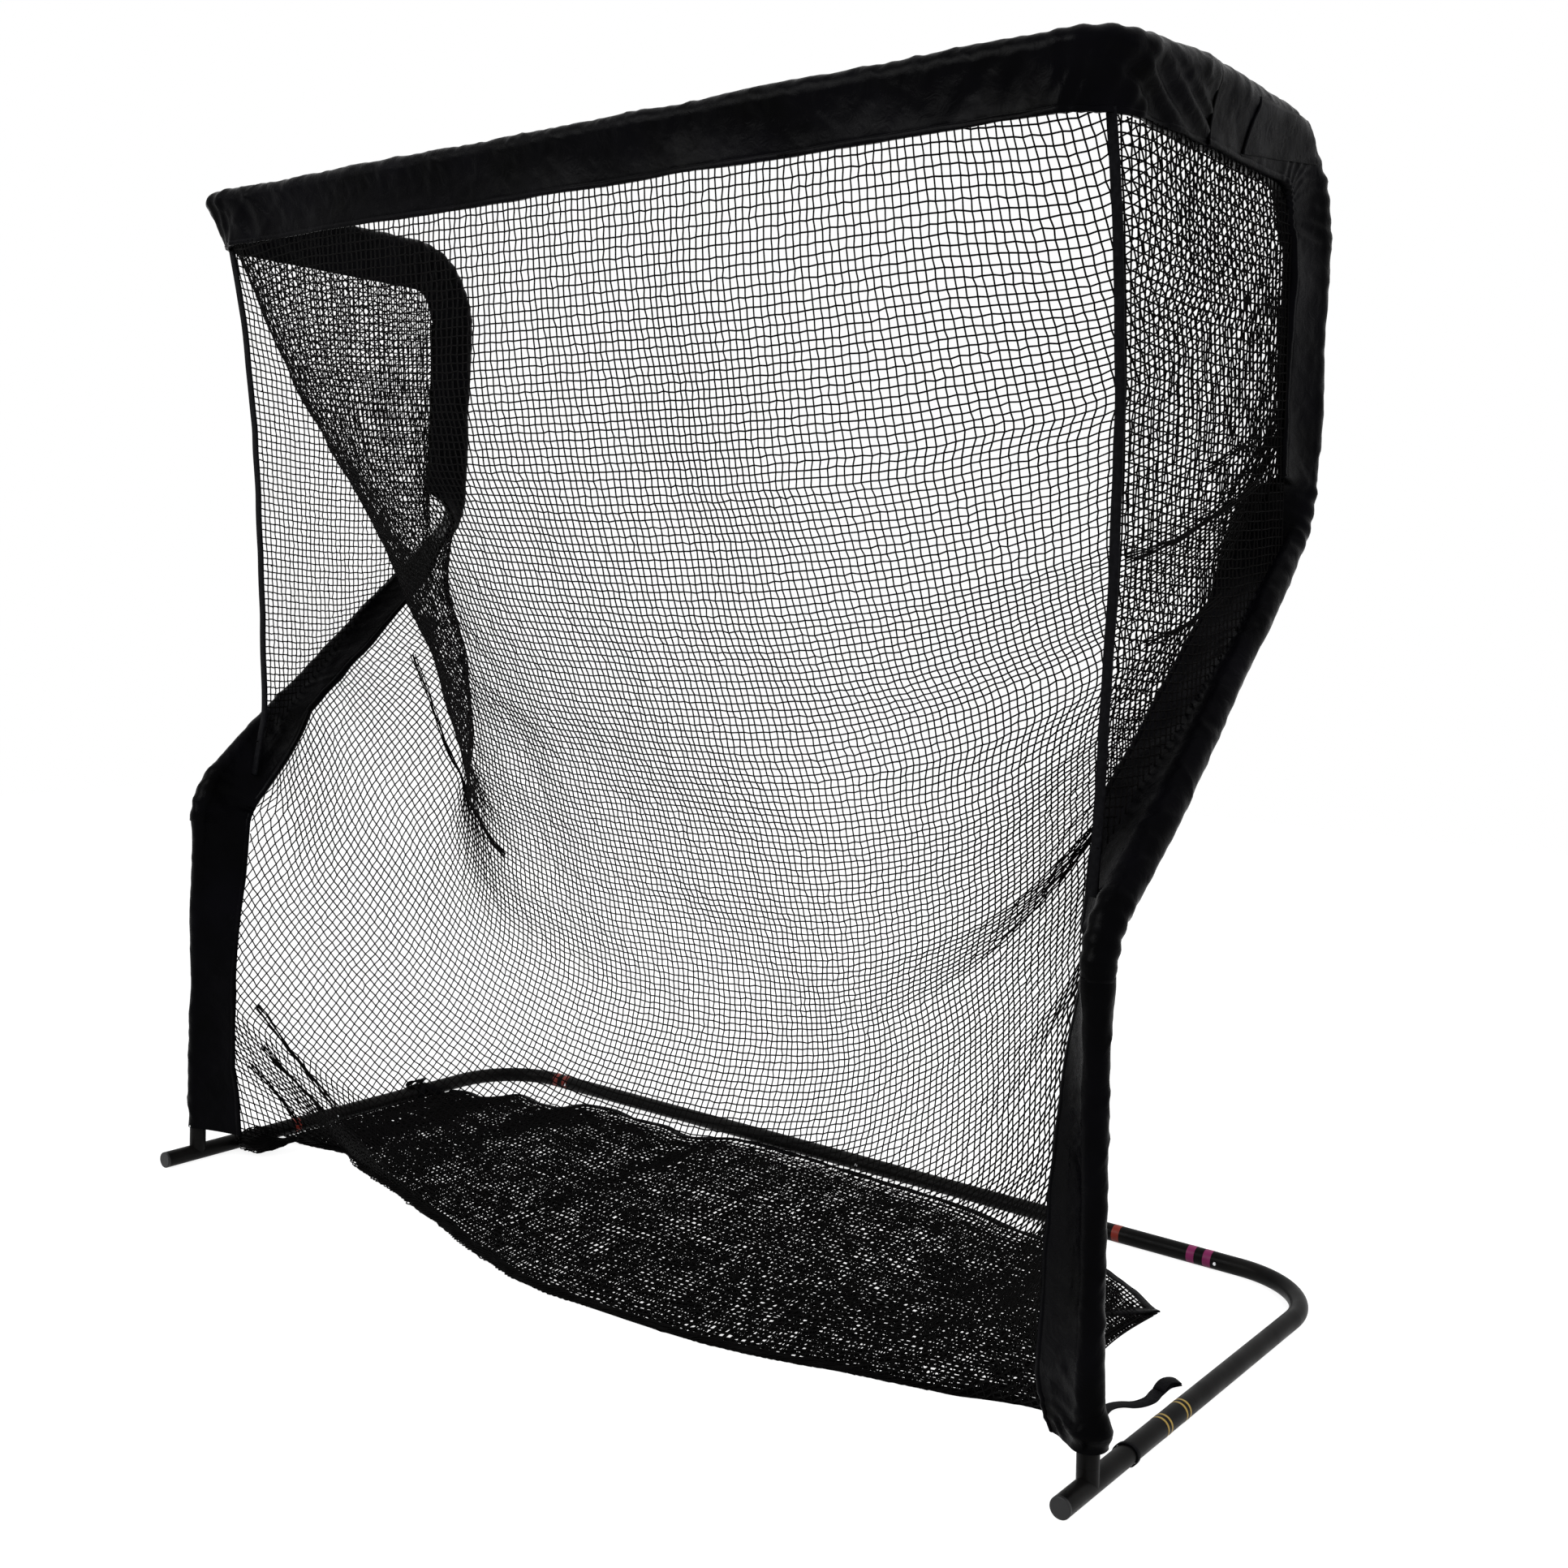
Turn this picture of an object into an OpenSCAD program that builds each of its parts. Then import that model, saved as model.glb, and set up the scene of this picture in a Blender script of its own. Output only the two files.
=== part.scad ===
// Free-standing practice net: a push-button tube frame, fabric tube sleeves and hung netting.
// Origin: centre of the footprint, on the floor. X is the width, Y runs to the back, Z is up.
// Left and right are the sides that a player in front of the net sees.

/* [Stand] */
// Distance between the two posts' axes at the floor
base_w = 2440; // [2000:10:3000]
// Depth over all, from the feet's front ends to the back of the crossbar
overall_d = 1155; // [1050:5:1400]
// Height over all, to the top of the sleeve on the top bar
overall_h = 2290; // [2150:10:2500]
// Inward lean of each side frame, in degrees
lean = 1.9; // [0:0.1:3]
// Length of each foot in front of its post
front_stub = 92; // [80:1:140]

/* [Side frames] */
// Height where the post turns into the slanting run
knee_h = 908; // [850:2:960]
// Height where the slanting run turns upright again
shoulder_h = 1590; // [1540:2:1640]
// Distance of the rear uprights behind the posts
setback = 771; // [700:1:840]
// Bend radius at the knee
knee_r = 160; // [120:5:200]
// Bend radius at the shoulder
shoulder_r = 160; // [120:5:200]
// Bend radius at the upper rear corner
crown_r = 180; // [150:5:220]
// Bend radius of the elbows that carry the top bar
elbow_r = 100; // [80:5:130]
// Bend radius of the base corners
corner_r = 190; // [150:5:210]

/* [Tubes] */
// Outer diameter of every tube
tube_d = 38; // [36:0.5:40]
// Wall thickness of the tubes
tube_wall = 1; // [0.8:0.1:1.5]
// Wall thickness of the reduced necks that plug into the next tube
neck_wall = 1; // [0.8:0.1:1.5]
// Clearance all round between a neck and the tube over it
neck_gap = 0.25; // [0.15:0.05:0.4]
// Length of a neck
neck_l = 90; // [75:1:110]
// Length of the long necks on the rear crossbar
cross_neck_l = 255; // [225:1:262]

/* [Joints] */
// Height of the seam between foot and post above the foot's axis
seat_h = 35; // [32:1:38]
// Straight tube left beyond the end of a neck
seam_spare = 15; // [5:1:30]
// Upright run of the slanting tube above its upper bend
shoulder_run = 60; // [40:5:90]
// Length of the elbow's straight arm before its neck
elbow_arm = 60; // [40:5:90]
// Distance of the foot's rear seam behind the posts
foot_seam = 372; // [355:1:400]

/* [Snap buttons] */
// Diameter of a button
button_d = 7.8; // [6:0.1:9]
// Clearance all round between a button and its holes
button_gap = 0.3; // [0.2:0.05:0.5]
// Height that a button stands out of the tube
button_out = 4; // [3.5:0.1:4.5]
// Distance of a button from the seam of its joint
button_at = 34; // [28:1:40]
// Distance of the crossbar's buttons from their seams
cross_button_at = 220; // [190:1:222]
// Width of a button's spring strip
spring_w = 10; // [8:0.5:12]
// Thickness of the spring strip
spring_t = 0.8; // [0.6:0.1:1]
// Length of the spring behind its button
spring_l = 30; // [24:1:34]

/* [Foot caps and tube marks] */
// Thickness of a foot cap's head
cap_t = 6; // [4:0.5:10]
// Radius of the rounded rim of a foot cap
cap_round = 2.5; // [0.5:0.1:2.9]
// Length of a foot cap's plug inside the tube
cap_plug_l = 20; // [15:1:30]
// Clearance all round between the plug and the tube
cap_gap = 0.2; // [0.1:0.05:0.3]
// Thickness of the marking tape on the tubes
tape_t = 0.2; // [0.1:0.05:0.4]
// Width of the thin gold tapes on the right foot
thin_tape_w = 5; // [3:0.5:8]
// Width of the wide tapes
wide_tape_w = 18; // [12:1:24]

/* [Sleeves] */
// Outer radius of the fabric sleeves over the tubes
sleeve_r = 22; // [21.4:0.2:26]
// Thickness of the sleeve fabric, doubled and padded
sleeve_t = 1.6; // [1:0.1:1.7]
// Depth of the flap that hangs below the top bar
top_flap = 120; // [100:5:150]
// Depth of the flap in front of the rear uprights
rear_flap = 116; // [100:2:130]
// Depth of the flap along the slanting run
slant_flap = 90; // [80:2:110]
// Depth of the flap along the posts
post_flap = 95; // [80:1:110]
// Height of the post sleeve's lower end above the foot's button
sleeve_above = 15; // [10:1:30]
// Radius of the post sleeve where it bunches at its lower end
bunch_r = 28; // [24:1:32]
// Gap between a sleeve's hem and what is sewn on it
seam_gap = 0.3; // [0.2:0.1:0.6]

/* [Netting] */
// Thickness of the netting's bars
net_t = 3; // [2:0.5:5]
// Width of a bar as a share of a mesh gap
bar_share = 0.12; // [0.08:0.01:0.2]
// Mesh gaps across the main net
main_cols = 14; // [8:1:16]
// Mesh gaps down the main net
main_rows = 11; // [8:1:12]
// Mesh gaps across a side net
side_cols = 4; // [3:1:5]
// Mesh gaps down a side net
side_rows = 6; // [4:1:7]
// Mesh gaps across the ground net
ground_cols = 10; // [6:1:14]
// Mesh gaps along the ground net, front to back
ground_rows = 2; // [2:1:3]
// Distance that the main net bellies back at mid width
belly = 540; // [450:10:600]
// Sideways distance between the main net and the side nets at the hems
net_split = 4.5; // [3.5:0.5:8]
// Depth of the ground net behind the posts
ground_d = 880; // [780:10:900]
// Width of the ground net at its rear hem
ground_w = 2000; // [1800:10:2100]
// Width of the ground net's hem tape
ground_hem_w = 18; // [12:1:30]

/* [Webbing] */
// Width of the front webbing bands
band_w = 38; // [30:1:50]
// Thickness of the webbing
band_t = 2; // [1.5:0.1:3]
// Distance of the band's middle behind the posts
band_y = 45; // [40:1:60]
// Width of the tie straps
strap_w = 24; // [18:1:30]
// Distance of the left base tube's tie behind the posts
tie_y = 690; // [600:10:800]
// Gap between a strap and the tube that it goes round
tie_gap = 0.3; // [0.2:0.1:1]

/* [Hidden] */
$fn = 48;

BLACK = [0.07, 0.07, 0.075];
CLOTH = [0.11, 0.11, 0.13];
MESH = [0.05, 0.05, 0.055];
STEEL = [0.75, 0.75, 0.77];

tube_r = tube_d / 2;
bore_r = tube_r - tube_wall;
neck_r = bore_r - neck_gap;
neck_bore_r = neck_r - neck_wall;
collar_l = 4;
tube_seam = 0.3;
bend_ease = 0.05;
bend_lap = 1;

post_x = base_w / 2;
post_y = front_stub - overall_d / 2;
cross_y = overall_d / 2 - tube_r;

// A bent sleeve is made of straight stretches, so it gets this much more room round the tube.
function bend_room(r, a) = r * (1 - cos(a / 2)) + 0.5;
elbow_steps = 4;
crown_steps = 5;
slant_steps = 3;
top_z = overall_h - sleeve_r - bend_room(elbow_r, 90 / elbow_steps);

// Distances up a side frame are measured in its leaning plane, from the foot's axis.
function up(z) = (z - tube_r) / cos(lean);
knee_s = up(knee_h);
shoulder_s = up(shoulder_h);
top_s = up(top_z);
top_x = post_x - top_s * sin(lean);

// Bends at the knee and the shoulder turn by the same angle, so the upper run is upright again.
slant_a = atan2(setback, shoulder_s - knee_s);
knee_t = knee_r * tan(slant_a / 2);
shoulder_t = shoulder_r * tan(slant_a / 2);
slant_l = norm([setback, shoulder_s - knee_s]) - knee_t - shoulder_t;

// Seams of the joints
neck_room = neck_l + seam_spare;
knee_seam_s = knee_s - knee_t - neck_room;
shoulder_seam_s = shoulder_s + shoulder_t + shoulder_run;
elbow_seam = elbow_r + neck_room;
cross_seam = corner_r + cross_neck_l + seam_spare;
arm_x = top_x - elbow_r - elbow_arm;

// Sleeves
knee_turn = 125;
slant_turn = 90;
sleeve_low = seat_h + button_at + sleeve_above;
sleeve_end = elbow_seam + neck_l;
hem_z = top_z - top_flap;

// ---- frames ----

module mirrored(side) mirror([side < 0 ? 1 : 0, 0, 0]) children();

module on_side(side)
    mirrored(side) translate([post_x, post_y, tube_r]) rotate([0, -lean, 0]) children();

// Frame of a joint: its origin is the seam, Z runs into the outer tube and X through the button.
module at_joint(joint, side) {
    if (joint == "foot")
        on_side(side) translate([0, 0, seat_h]) rotate([0, 0, -90]) children();
    if (joint == "knee")
        on_side(side) translate([0, 0, knee_seam_s]) rotate([0, 0, 270 - knee_turn]) children();
    if (joint == "shoulder")
        on_side(side) translate([0, setback, shoulder_seam_s]) rotate([0, 0, -90]) children();
    if (joint == "crown")
        mirrored(side) translate([top_x, post_y + elbow_seam, top_z])
            rotate([90, 0, 0]) rotate([0, 0, -90]) children();
    if (joint == "elbow")
        mirrored(side) translate([arm_x, post_y, top_z])
            rotate([0, -90, 0]) rotate([0, 0, 180]) children();
    if (joint == "base")
        mirrored(side) translate([post_x, post_y + foot_seam, tube_r])
            rotate([-90, 0, 0]) rotate([0, 0, 180]) children();
    if (joint == "cross")
        mirrored(side) translate([post_x - cross_seam, cross_y, tube_r])
            rotate([0, 90, 0]) rotate([0, 0, -90]) children();
    if (joint == "top_centre")
        translate([0, post_y, top_z]) rotate([0, 90, 0]) children();
    if (joint == "cross_centre")
        translate([0, cross_y, tube_r]) rotate([0, 90, 0]) rotate([0, 0, -90]) children();
}

function button_height(joint) = joint == "cross" ? cross_button_at : button_at;

// ---- tubes ----

module ring(r, wall) difference() {
    circle(r = r);
    circle(r = r - wall);
}

module pipe(l) linear_extrude(l) ring(tube_r, tube_wall);

// Straight tube that laps a little way into the bends before and after it
module run(l, before, after)
    translate([0, 0, -before * bend_lap]) pipe(l + (before + after) * bend_lap);

// A bend starts along Z and turns towards Y. Bending draws its wall a trace thinner.
module bend(r, a)
    translate([0, r, 0]) rotate([90, 0, -90]) rotate_extrude(angle = a)
        translate([r, 0]) ring(tube_r - bend_ease, tube_wall - 2 * bend_ease);

module after_bend(r, a)
    translate([0, r * (1 - cos(a)), r * sin(a)]) rotate([-a, 0, 0]) children();

module button_hole(joint)
    translate([0, 0, button_height(joint)]) rotate([0, 90, 0])
        cylinder(d = button_d + 2 * button_gap, h = tube_d);

// The collar holds a neck in its own tube. It reaches half way into that tube's wall.
module neck(joint, side) at_joint(joint, side) {
    collar_r = bore_r + tube_wall / 2;
    translate([0, 0, -2 * collar_l]) linear_extrude(collar_l)
        ring(collar_r, collar_r - neck_bore_r);
    difference() {
        translate([0, 0, -2 * collar_l])
            linear_extrude(2 * collar_l + (joint == "cross" ? cross_neck_l : neck_l))
                ring(neck_r, neck_wall);
        button_hole(joint);
    }
}

module hole(joint, side) at_joint(joint, side) button_hole(joint);

module foot(side) color(BLACK) {
    mirrored(side) translate([post_x, post_y, tube_r]) rotate([-90, 0, 0])
        translate([0, 0, cap_t - front_stub]) pipe(front_stub - cap_t + foot_seam - tube_seam);
    difference() {
        on_side(side) pipe(seat_h - tube_seam);
        mirrored(side) translate([post_x, post_y - tube_d, tube_r]) rotate([-90, 0, 0])
            cylinder(r = bore_r, h = 2 * tube_d);
    }
    neck("foot", side);
    neck("base", side);
}

module foot_cap(side) color([0.2, 0.2, 0.21])
    mirrored(side) translate([post_x, post_y - front_stub, tube_r]) rotate([-90, 0, 0]) {
        rotate_extrude() {
            square([tube_r - cap_round, cap_t]);
            translate([0, cap_round]) square([tube_r, cap_t - cap_round]);
            translate([tube_r - cap_round, cap_round]) circle(cap_round);
        }
        translate([0, 0, cap_t]) linear_extrude(cap_plug_l) ring(bore_r - cap_gap, 2);
    }

module base_corner(side) color(BLACK) difference() {
    mirrored(side) translate([post_x, post_y + foot_seam, tube_r])
        rotate([-90, 0, 0]) rotate([0, 0, 90]) {
            back = cross_y - post_y - foot_seam - corner_r;
            run(back, 0, 1);
            translate([0, 0, back]) {
                bend(corner_r, 90);
                after_bend(corner_r, 90) run(cross_seam - corner_r, 1, 0);
            }
        }
    hole("base", side);
    hole("cross", side);
}

module cross_bar(side) color(BLACK) {
    start = side < 0 ? tube_seam : 0;
    difference() {
        mirrored(side) translate([start, cross_y, tube_r]) rotate([0, 90, 0])
            pipe(post_x - cross_seam - tube_seam - start);
        hole("cross_centre", side);
    }
    neck("cross", side);
    if (side < 0) neck("cross_centre", side);
}

module post(side) color(BLACK) {
    difference() {
        on_side(side) translate([0, 0, seat_h]) pipe(knee_seam_s - seat_h - tube_seam);
        hole("foot", side);
    }
    neck("knee", side);
}

module slant_tube(side) color(BLACK) {
    difference() {
        on_side(side) translate([0, 0, knee_seam_s]) {
            run(neck_room, 0, 1);
            translate([0, 0, neck_room]) {
                bend(knee_r, slant_a);
                after_bend(knee_r, slant_a) {
                    run(slant_l, 1, 1);
                    translate([0, 0, slant_l]) rotate([0, 0, 180]) {
                        bend(shoulder_r, slant_a);
                        after_bend(shoulder_r, slant_a) run(shoulder_run - tube_seam, 1, 0);
                    }
                }
            }
        }
        hole("knee", side);
    }
    neck("shoulder", side);
}

module crown_tube(side) color(BLACK) {
    rise = top_s - crown_r - shoulder_seam_s;
    difference() {
        on_side(side) translate([0, setback, shoulder_seam_s]) rotate([0, 0, 180]) {
            run(rise, 0, 1);
            translate([0, 0, rise]) {
                bend(crown_r, 90);
                after_bend(crown_r, 90)
                    run(setback - crown_r - elbow_seam - tube_seam, 1, 0);
            }
        }
        hole("shoulder", side);
    }
    neck("crown", side);
}

module elbow(side) color(BLACK) {
    difference() {
        mirrored(side) translate([top_x, post_y + elbow_seam, top_z])
            rotate([90, 0, 0]) rotate([0, 0, 90]) {
                run(neck_room, 0, 1);
                translate([0, 0, neck_room]) {
                    bend(elbow_r, 90);
                    after_bend(elbow_r, 90) run(elbow_arm - tube_seam, 1, 0);
                }
            }
        hole("crown", side);
    }
    neck("elbow", side);
}

module top_bar(side) color(BLACK) {
    start = side < 0 ? tube_seam : 0;
    difference() {
        mirrored(side) translate([start, post_y, top_z]) rotate([0, 90, 0]) pipe(arm_x - start);
        hole("elbow", side);
        hole("top_centre", side);
    }
    if (side < 0) neck("top_centre", side);
}

// ---- snap buttons ----

strip_gap = 0.3;
strip_x = sqrt(pow(neck_bore_r, 2) - pow(spring_w / 2, 2)) - strip_gap;
strip_tip = button_d / 2 + 4;

// The button stands on the spring's free leg and slides in along the joint's X.
module snap_button(joint, side) color(STEEL) at_joint(joint, side)
    translate([0, 0, button_height(joint)]) {
        rotate([0, 90, 0]) translate([0, 0, strip_x - spring_t]) {
            cylinder(d = button_d, h = tube_r + button_out - button_d / 2 - strip_x + spring_t);
            translate([0, 0, tube_r + button_out - button_d / 2 - strip_x + spring_t])
                sphere(d = button_d);
        }
        translate([strip_x - spring_t, -spring_w / 2, strip_gap - spring_l])
            cube([spring_t, spring_w, spring_l - strip_gap + strip_tip]);
    }

// The fixed leg lies on the far wall, and its foot reaches under the free leg.
module spring_leg(joint, side) at_joint(joint, side)
    translate([0, 0, button_height(joint)]) {
        translate([-strip_x, -spring_w / 2, -spring_l])
            cube([spring_t, spring_w, spring_l + strip_tip]);
        translate([-strip_x, -spring_w / 2, -spring_l - spring_t])
            cube([2 * strip_x, spring_w, spring_t]);
    }

module button_springs() color(STEEL) {
    for (side = [-1, 1])
        for (joint = ["foot", "knee", "shoulder", "crown", "elbow", "base", "cross"])
            spring_leg(joint, side);
    spring_leg("top_centre", 1);
    spring_leg("cross_centre", 1);
}

// ---- marking tape, open underneath so that the tubes still meet the floor ----

tape_open = 60;
tape_lift = 0.05;

module tape(w)
    rotate([0, 0, tape_open / 2]) rotate_extrude(angle = 360 - tape_open)
        translate([tube_r + tape_lift, -w / 2]) square([tape_t, w]);

// Tape on a foot at a distance behind the post
module foot_tape(side, y, w)
    mirrored(side) translate([post_x, post_y + y, tube_r]) rotate([90, 90, 0]) tape(w);

// Tape on the crossbar at a distance from the middle
module cross_tape(side, x, w)
    mirrored(side) translate([x, cross_y, tube_r]) rotate([0, 90, 0]) tape(w);

gold_y = 302;
gold_pair = 37;
gold_split = 7;
module gold_marks() color([0.72, 0.58, 0.25])
    for (pair = [-1, 1])
        for (line = [-1, 1])
            foot_tape(1, gold_y + pair * gold_pair + line * gold_split, thin_tape_w);

module pink_marks() color([0.75, 0.12, 0.45])
    for (from_post = [260, 298])
        cross_tape(1, post_x - from_post, wide_tape_w);

module red_marks() color([0.7, 0.13, 0.08]) {
    foot_tape(-1, 285, wide_tape_w);
    difference() {
        for (from_post = [200, 235])
            cross_tape(-1, post_x - from_post, wide_tape_w);
        hole("cross", -1);
    }
    cross_tape(1, post_x - cross_seam - wide_tape_w, wide_tape_w);
}

// ---- sleeves ----

function triangles(quads) = [for (q = quads) each [[q[0], q[1], q[2]], [q[0], q[2], q[3]]]];

// Outline of a sleeve: a loop round the tube that closes to a flap. The flap runs along the
// first coordinate, and the loop's room inside ends half way down the flap.
loop_angles = [60:30:300];
function loop_out(r, flap) = concat(
    [for (a = loop_angles) r * [cos(a), sin(a)]],
    [[0.6 * flap, -5], [flap, -2.5], [flap, 2.5], [0.6 * flap, 5]]);
function loop_in(r, flap) = concat(
    [for (a = loop_angles) (r - sleeve_t) * [cos(a), sin(a)]],
    [[0.5 * flap, -2.8], [0.52 * flap, -1], [0.52 * flap, 1], [0.5 * flap, 2.8]]);

// A station of a sleeve is [centre, direction of travel, flap direction, radius, flap length].
function station_ring(st, outline) =
    [for (p = outline) st[0] + p[0] * st[2] + p[1] * cross(st[1], st[2])];

module sleeve_skin(stations) {
    n = len(loop_out(1, 1));
    last = len(stations) - 1;
    function o(k, i) = k * n + i % n;
    function c(k, i) = (last + 1) * n + k * n + i % n;
    polyhedron(
        points = concat(
            [for (st = stations) each station_ring(st, loop_out(st[3], st[4]))],
            [for (st = stations) each station_ring(st, loop_in(st[3], st[4]))]),
        faces = triangles(concat(
            [for (k = [0:last - 1], i = [0:n - 1]) [o(k + 1, i), o(k + 1, i + 1), o(k, i + 1), o(k, i)]],
            [for (k = [0:last - 1], i = [0:n - 1]) [c(k, i), c(k, i + 1), c(k + 1, i + 1), c(k + 1, i)]],
            [for (i = [0:n - 1]) [o(0, i), o(0, i + 1), c(0, i + 1), c(0, i)]],
            [for (i = [0:n - 1]) [c(last, i), c(last, i + 1), o(last, i + 1), o(last, i)]])),
        convexity = 6);
}

// The flap turns from the front of the rear upright to the inner side of the slanting run, and
// below the knee it points inwards and back. Both are looked up by the distance up the frame.
function flap_turn(s) = lookup(s, [
    [knee_s, knee_turn], [knee_s + 200, slant_turn],
    [shoulder_s - 100, slant_turn], [shoulder_s + shoulder_t, 0]]);
function flap_len(s) = lookup(s, [
    [knee_s - 200, post_flap], [knee_s, slant_flap + 25], [knee_s + 200, slant_flap + 20],
    [shoulder_s - 100, slant_flap], [shoulder_s + shoulder_t + 60, rear_flap]]);

// Points of a side frame's line are [distance behind the post, distance up, heading, bend room].
function arc_line(c, r, from, to, turn, steps, more = 0) = [for (i = [0:steps])
    let (a = from + (to - from) * i / steps)
    [c[0] + r * cos(a), c[1] + r * sin(a), a + turn,
        bend_room(r, abs(to - from) / steps) + more]];

// The flap turns fast round the shoulder, which twists the facets, so they get more room there.
slant_room = bend_room(knee_r, slant_a / slant_steps);
twist_room = 1.5;
side_line = concat(
    [[sleeve_end + seam_gap, top_s, 0, 0]],
    [[setback - crown_r - 60, top_s, 0, 0]],
    arc_line([setback - crown_r, top_s - crown_r], crown_r, 90, 0, -90, crown_steps),
    [[setback, top_s - crown_r - 60, -90, 0], [setback, shoulder_s + shoulder_t + 60, -90, 0]],
    arc_line([setback - shoulder_r, shoulder_s + shoulder_t], shoulder_r, 0, -slant_a, -90,
        slant_steps, twist_room),
    [for (s = [shoulder_s - 100, (shoulder_s + knee_s) / 2, knee_s + 200])
        [(s - knee_s) * tan(slant_a), s, -90 - slant_a, slant_room]],
    arc_line([knee_r, knee_s - knee_t], knee_r, 180 - slant_a, 180, 90, slant_steps));
post_line = [
    [0, knee_s - knee_t - 2, -90, 1], [0, knee_s / 2, -90, 0],
    [0, sleeve_low + 60, -90, 0], [0, sleeve_low, -90, bunch_r - sleeve_r]];

function flap_way(h, turn) =
    [-sin(turn), cos(turn) * sin(h), -cos(turn) * cos(h)];
function side_station(p) = [
    [0, p[0], p[1]], [0, cos(p[2]), sin(p[2])], flap_way(p[2], flap_turn(p[1])),
    sleeve_r + p[3], flap_len(p[1])];

module side_sleeve(side) color(CLOTH) on_side(side)
    sleeve_skin([for (p = side_line) side_station(p)]);

module post_sleeve(side) color(CLOTH) on_side(side)
    sleeve_skin([for (p = post_line) side_station(p)]);

function top_station(x, y, a, room) =
    [[x, post_y + y, top_z], [-sin(a), cos(a), 0], [0, 0, -1], sleeve_r + room, top_flap];
function top_arc(x, from) = [for (i = [0:elbow_steps])
    let (a = from + 90 * i / elbow_steps)
    top_station(x + elbow_r * cos(a), elbow_r + elbow_r * sin(a), a,
        bend_room(elbow_r, 90 / elbow_steps))];

module top_sleeve() color(CLOTH) sleeve_skin(concat(
    [top_station(-top_x, sleeve_end, 180, 0)], top_arc(elbow_r - top_x, 180),
    [top_station(elbow_r + 60 - top_x, 0, 270, 0), top_station(top_x - elbow_r - 60, 0, 270, 0)],
    top_arc(top_x - elbow_r, 270), [top_station(top_x, sleeve_end, 0, 0)]));

// Distance up the frame to the slanting sleeve's upper side, at a distance behind the post
function slant_top(y) = knee_s + y / tan(slant_a) + (sleeve_r + slant_room + seam_gap) / sin(slant_a);

// ---- webbing ----

band_top = top_s - 60;
band_low = slant_top(band_y + band_w / 2);

module front_band(side) color(BLACK) on_side(side)
    translate([net_split - band_t / 2, band_y - band_w / 2, band_low])
        cube([band_t, band_w, band_top - band_low]);

// ---- netting ----

// A sheet is a grid of points with a thickness. In an open one every gap between bars is a hole.
function bars(count) = [for (i = [0:count], side = [0, 1])
    (i + side * bar_share) / (count + bar_share)];
function unit(v) = v / norm(v);
function sheet_normal(at, u, v) = unit(cross(
    at(min(u + 0.01, 1), v) - at(max(u - 0.01, 0), v),
    at(u, min(v + 0.01, 1)) - at(u, max(v - 0.01, 0))));

module sheet(at, us, vs, t, open) {
    m = len(us);
    n = len(vs);
    function top(a, b) = b * m + a;
    function low(a, b) = m * n + b * m + a;
    function solid(a, b) = a >= 0 && b >= 0 && a < m - 1 && b < n - 1
        && !(open && a % 2 == 1 && b % 2 == 1);
    cells = [for (b = [0:n - 2], a = [0:m - 2]) if (solid(a, b)) [a, b]];
    polyhedron(
        points = concat(
            [for (v = vs, u = us) at(u, v) + sheet_normal(at, u, v) * t / 2],
            [for (v = vs, u = us) at(u, v) - sheet_normal(at, u, v) * t / 2]),
        faces = triangles([for (p = cells) let (a = p[0], b = p[1]) each concat(
            [[top(a, b), top(a, b + 1), top(a + 1, b + 1), top(a + 1, b)]],
            [[low(a, b), low(a + 1, b), low(a + 1, b + 1), low(a, b + 1)]],
            solid(a - 1, b) ? [] : [[top(a, b), low(a, b), low(a, b + 1), top(a, b + 1)]],
            solid(a + 1, b) ? []
                : [[top(a + 1, b), top(a + 1, b + 1), low(a + 1, b + 1), low(a + 1, b)]],
            solid(a, b - 1) ? [] : [[top(a, b), top(a + 1, b), low(a + 1, b), low(a, b)]],
            solid(a, b + 1) ? []
                : [[top(a, b + 1), low(a, b + 1), low(a + 1, b + 1), top(a + 1, b + 1)]])]),
        convexity = 10);
}

// Point at a share of a line's length
function steps_of(line) = [for (i = [1:len(line) - 1]) norm(line[i] - line[i - 1])];
function total(list, i = 0) = i < len(list) ? list[i] + total(list, i + 1) : 0;
function walk(line, left, i = 1) =
    let (d = norm(line[i] - line[i - 1]))
    i == len(line) - 1 || left <= d
        ? line[i - 1] + (line[i] - line[i - 1]) * min(left / d, 1)
        : walk(line, left - d, i + 1);
function along(line, share) = walk(line, share * total(steps_of(line)));

// Right-hand frame's leaning plane to the stand's axes
function lean_point(p) = [
    post_x + p[0] * cos(lean) - p[2] * sin(lean), post_y + p[1],
    tube_r + p[0] * sin(lean) + p[2] * cos(lean)];

// The main net's edge runs round the elbow, back under the side tube, down the rear upright, the
// slanting run and the post, and ends on the floor. It hangs just clear of the sleeve's hem.
net_drop = seam_gap + net_t / 2;
function hem_point(p) =
    let (turn = flap_turn(p[1]), way = flap_way(p[2], turn))
    lean_point([-net_split * max(cos(turn), 0), p[0], p[1]] + way * (flap_len(p[1]) + net_drop));
net_low = 1.5 * net_t + seam_gap;
net_corner = [post_x - 125, post_y + 180, net_low];
net_edge = concat(
    [for (a = [0:30:60]) [top_x - elbow_r + elbow_r * sin(a),
        post_y + elbow_r - elbow_r * cos(a), hem_z - net_drop]],
    [for (p = side_line) hem_point(p)],
    [for (p = post_line) hem_point(p)],
    [net_corner]);

// Middle of the main net: shares of the belly behind the posts and of the hem's height
middle_shares = [
    [0, 1], [0.06, 0.88], [0.19, 0.745], [0.46, 0.58], [0.78, 0.42], [1, 0.255],
    [0.96, 0.14], [0.7, 0.056], [0.33, 0.019]];
net_middle = concat(
    [for (p = middle_shares) [0, post_y + belly * p[0], (hem_z - net_drop) * p[1]]],
    [[0, post_y - 30, net_low]]);

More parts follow.
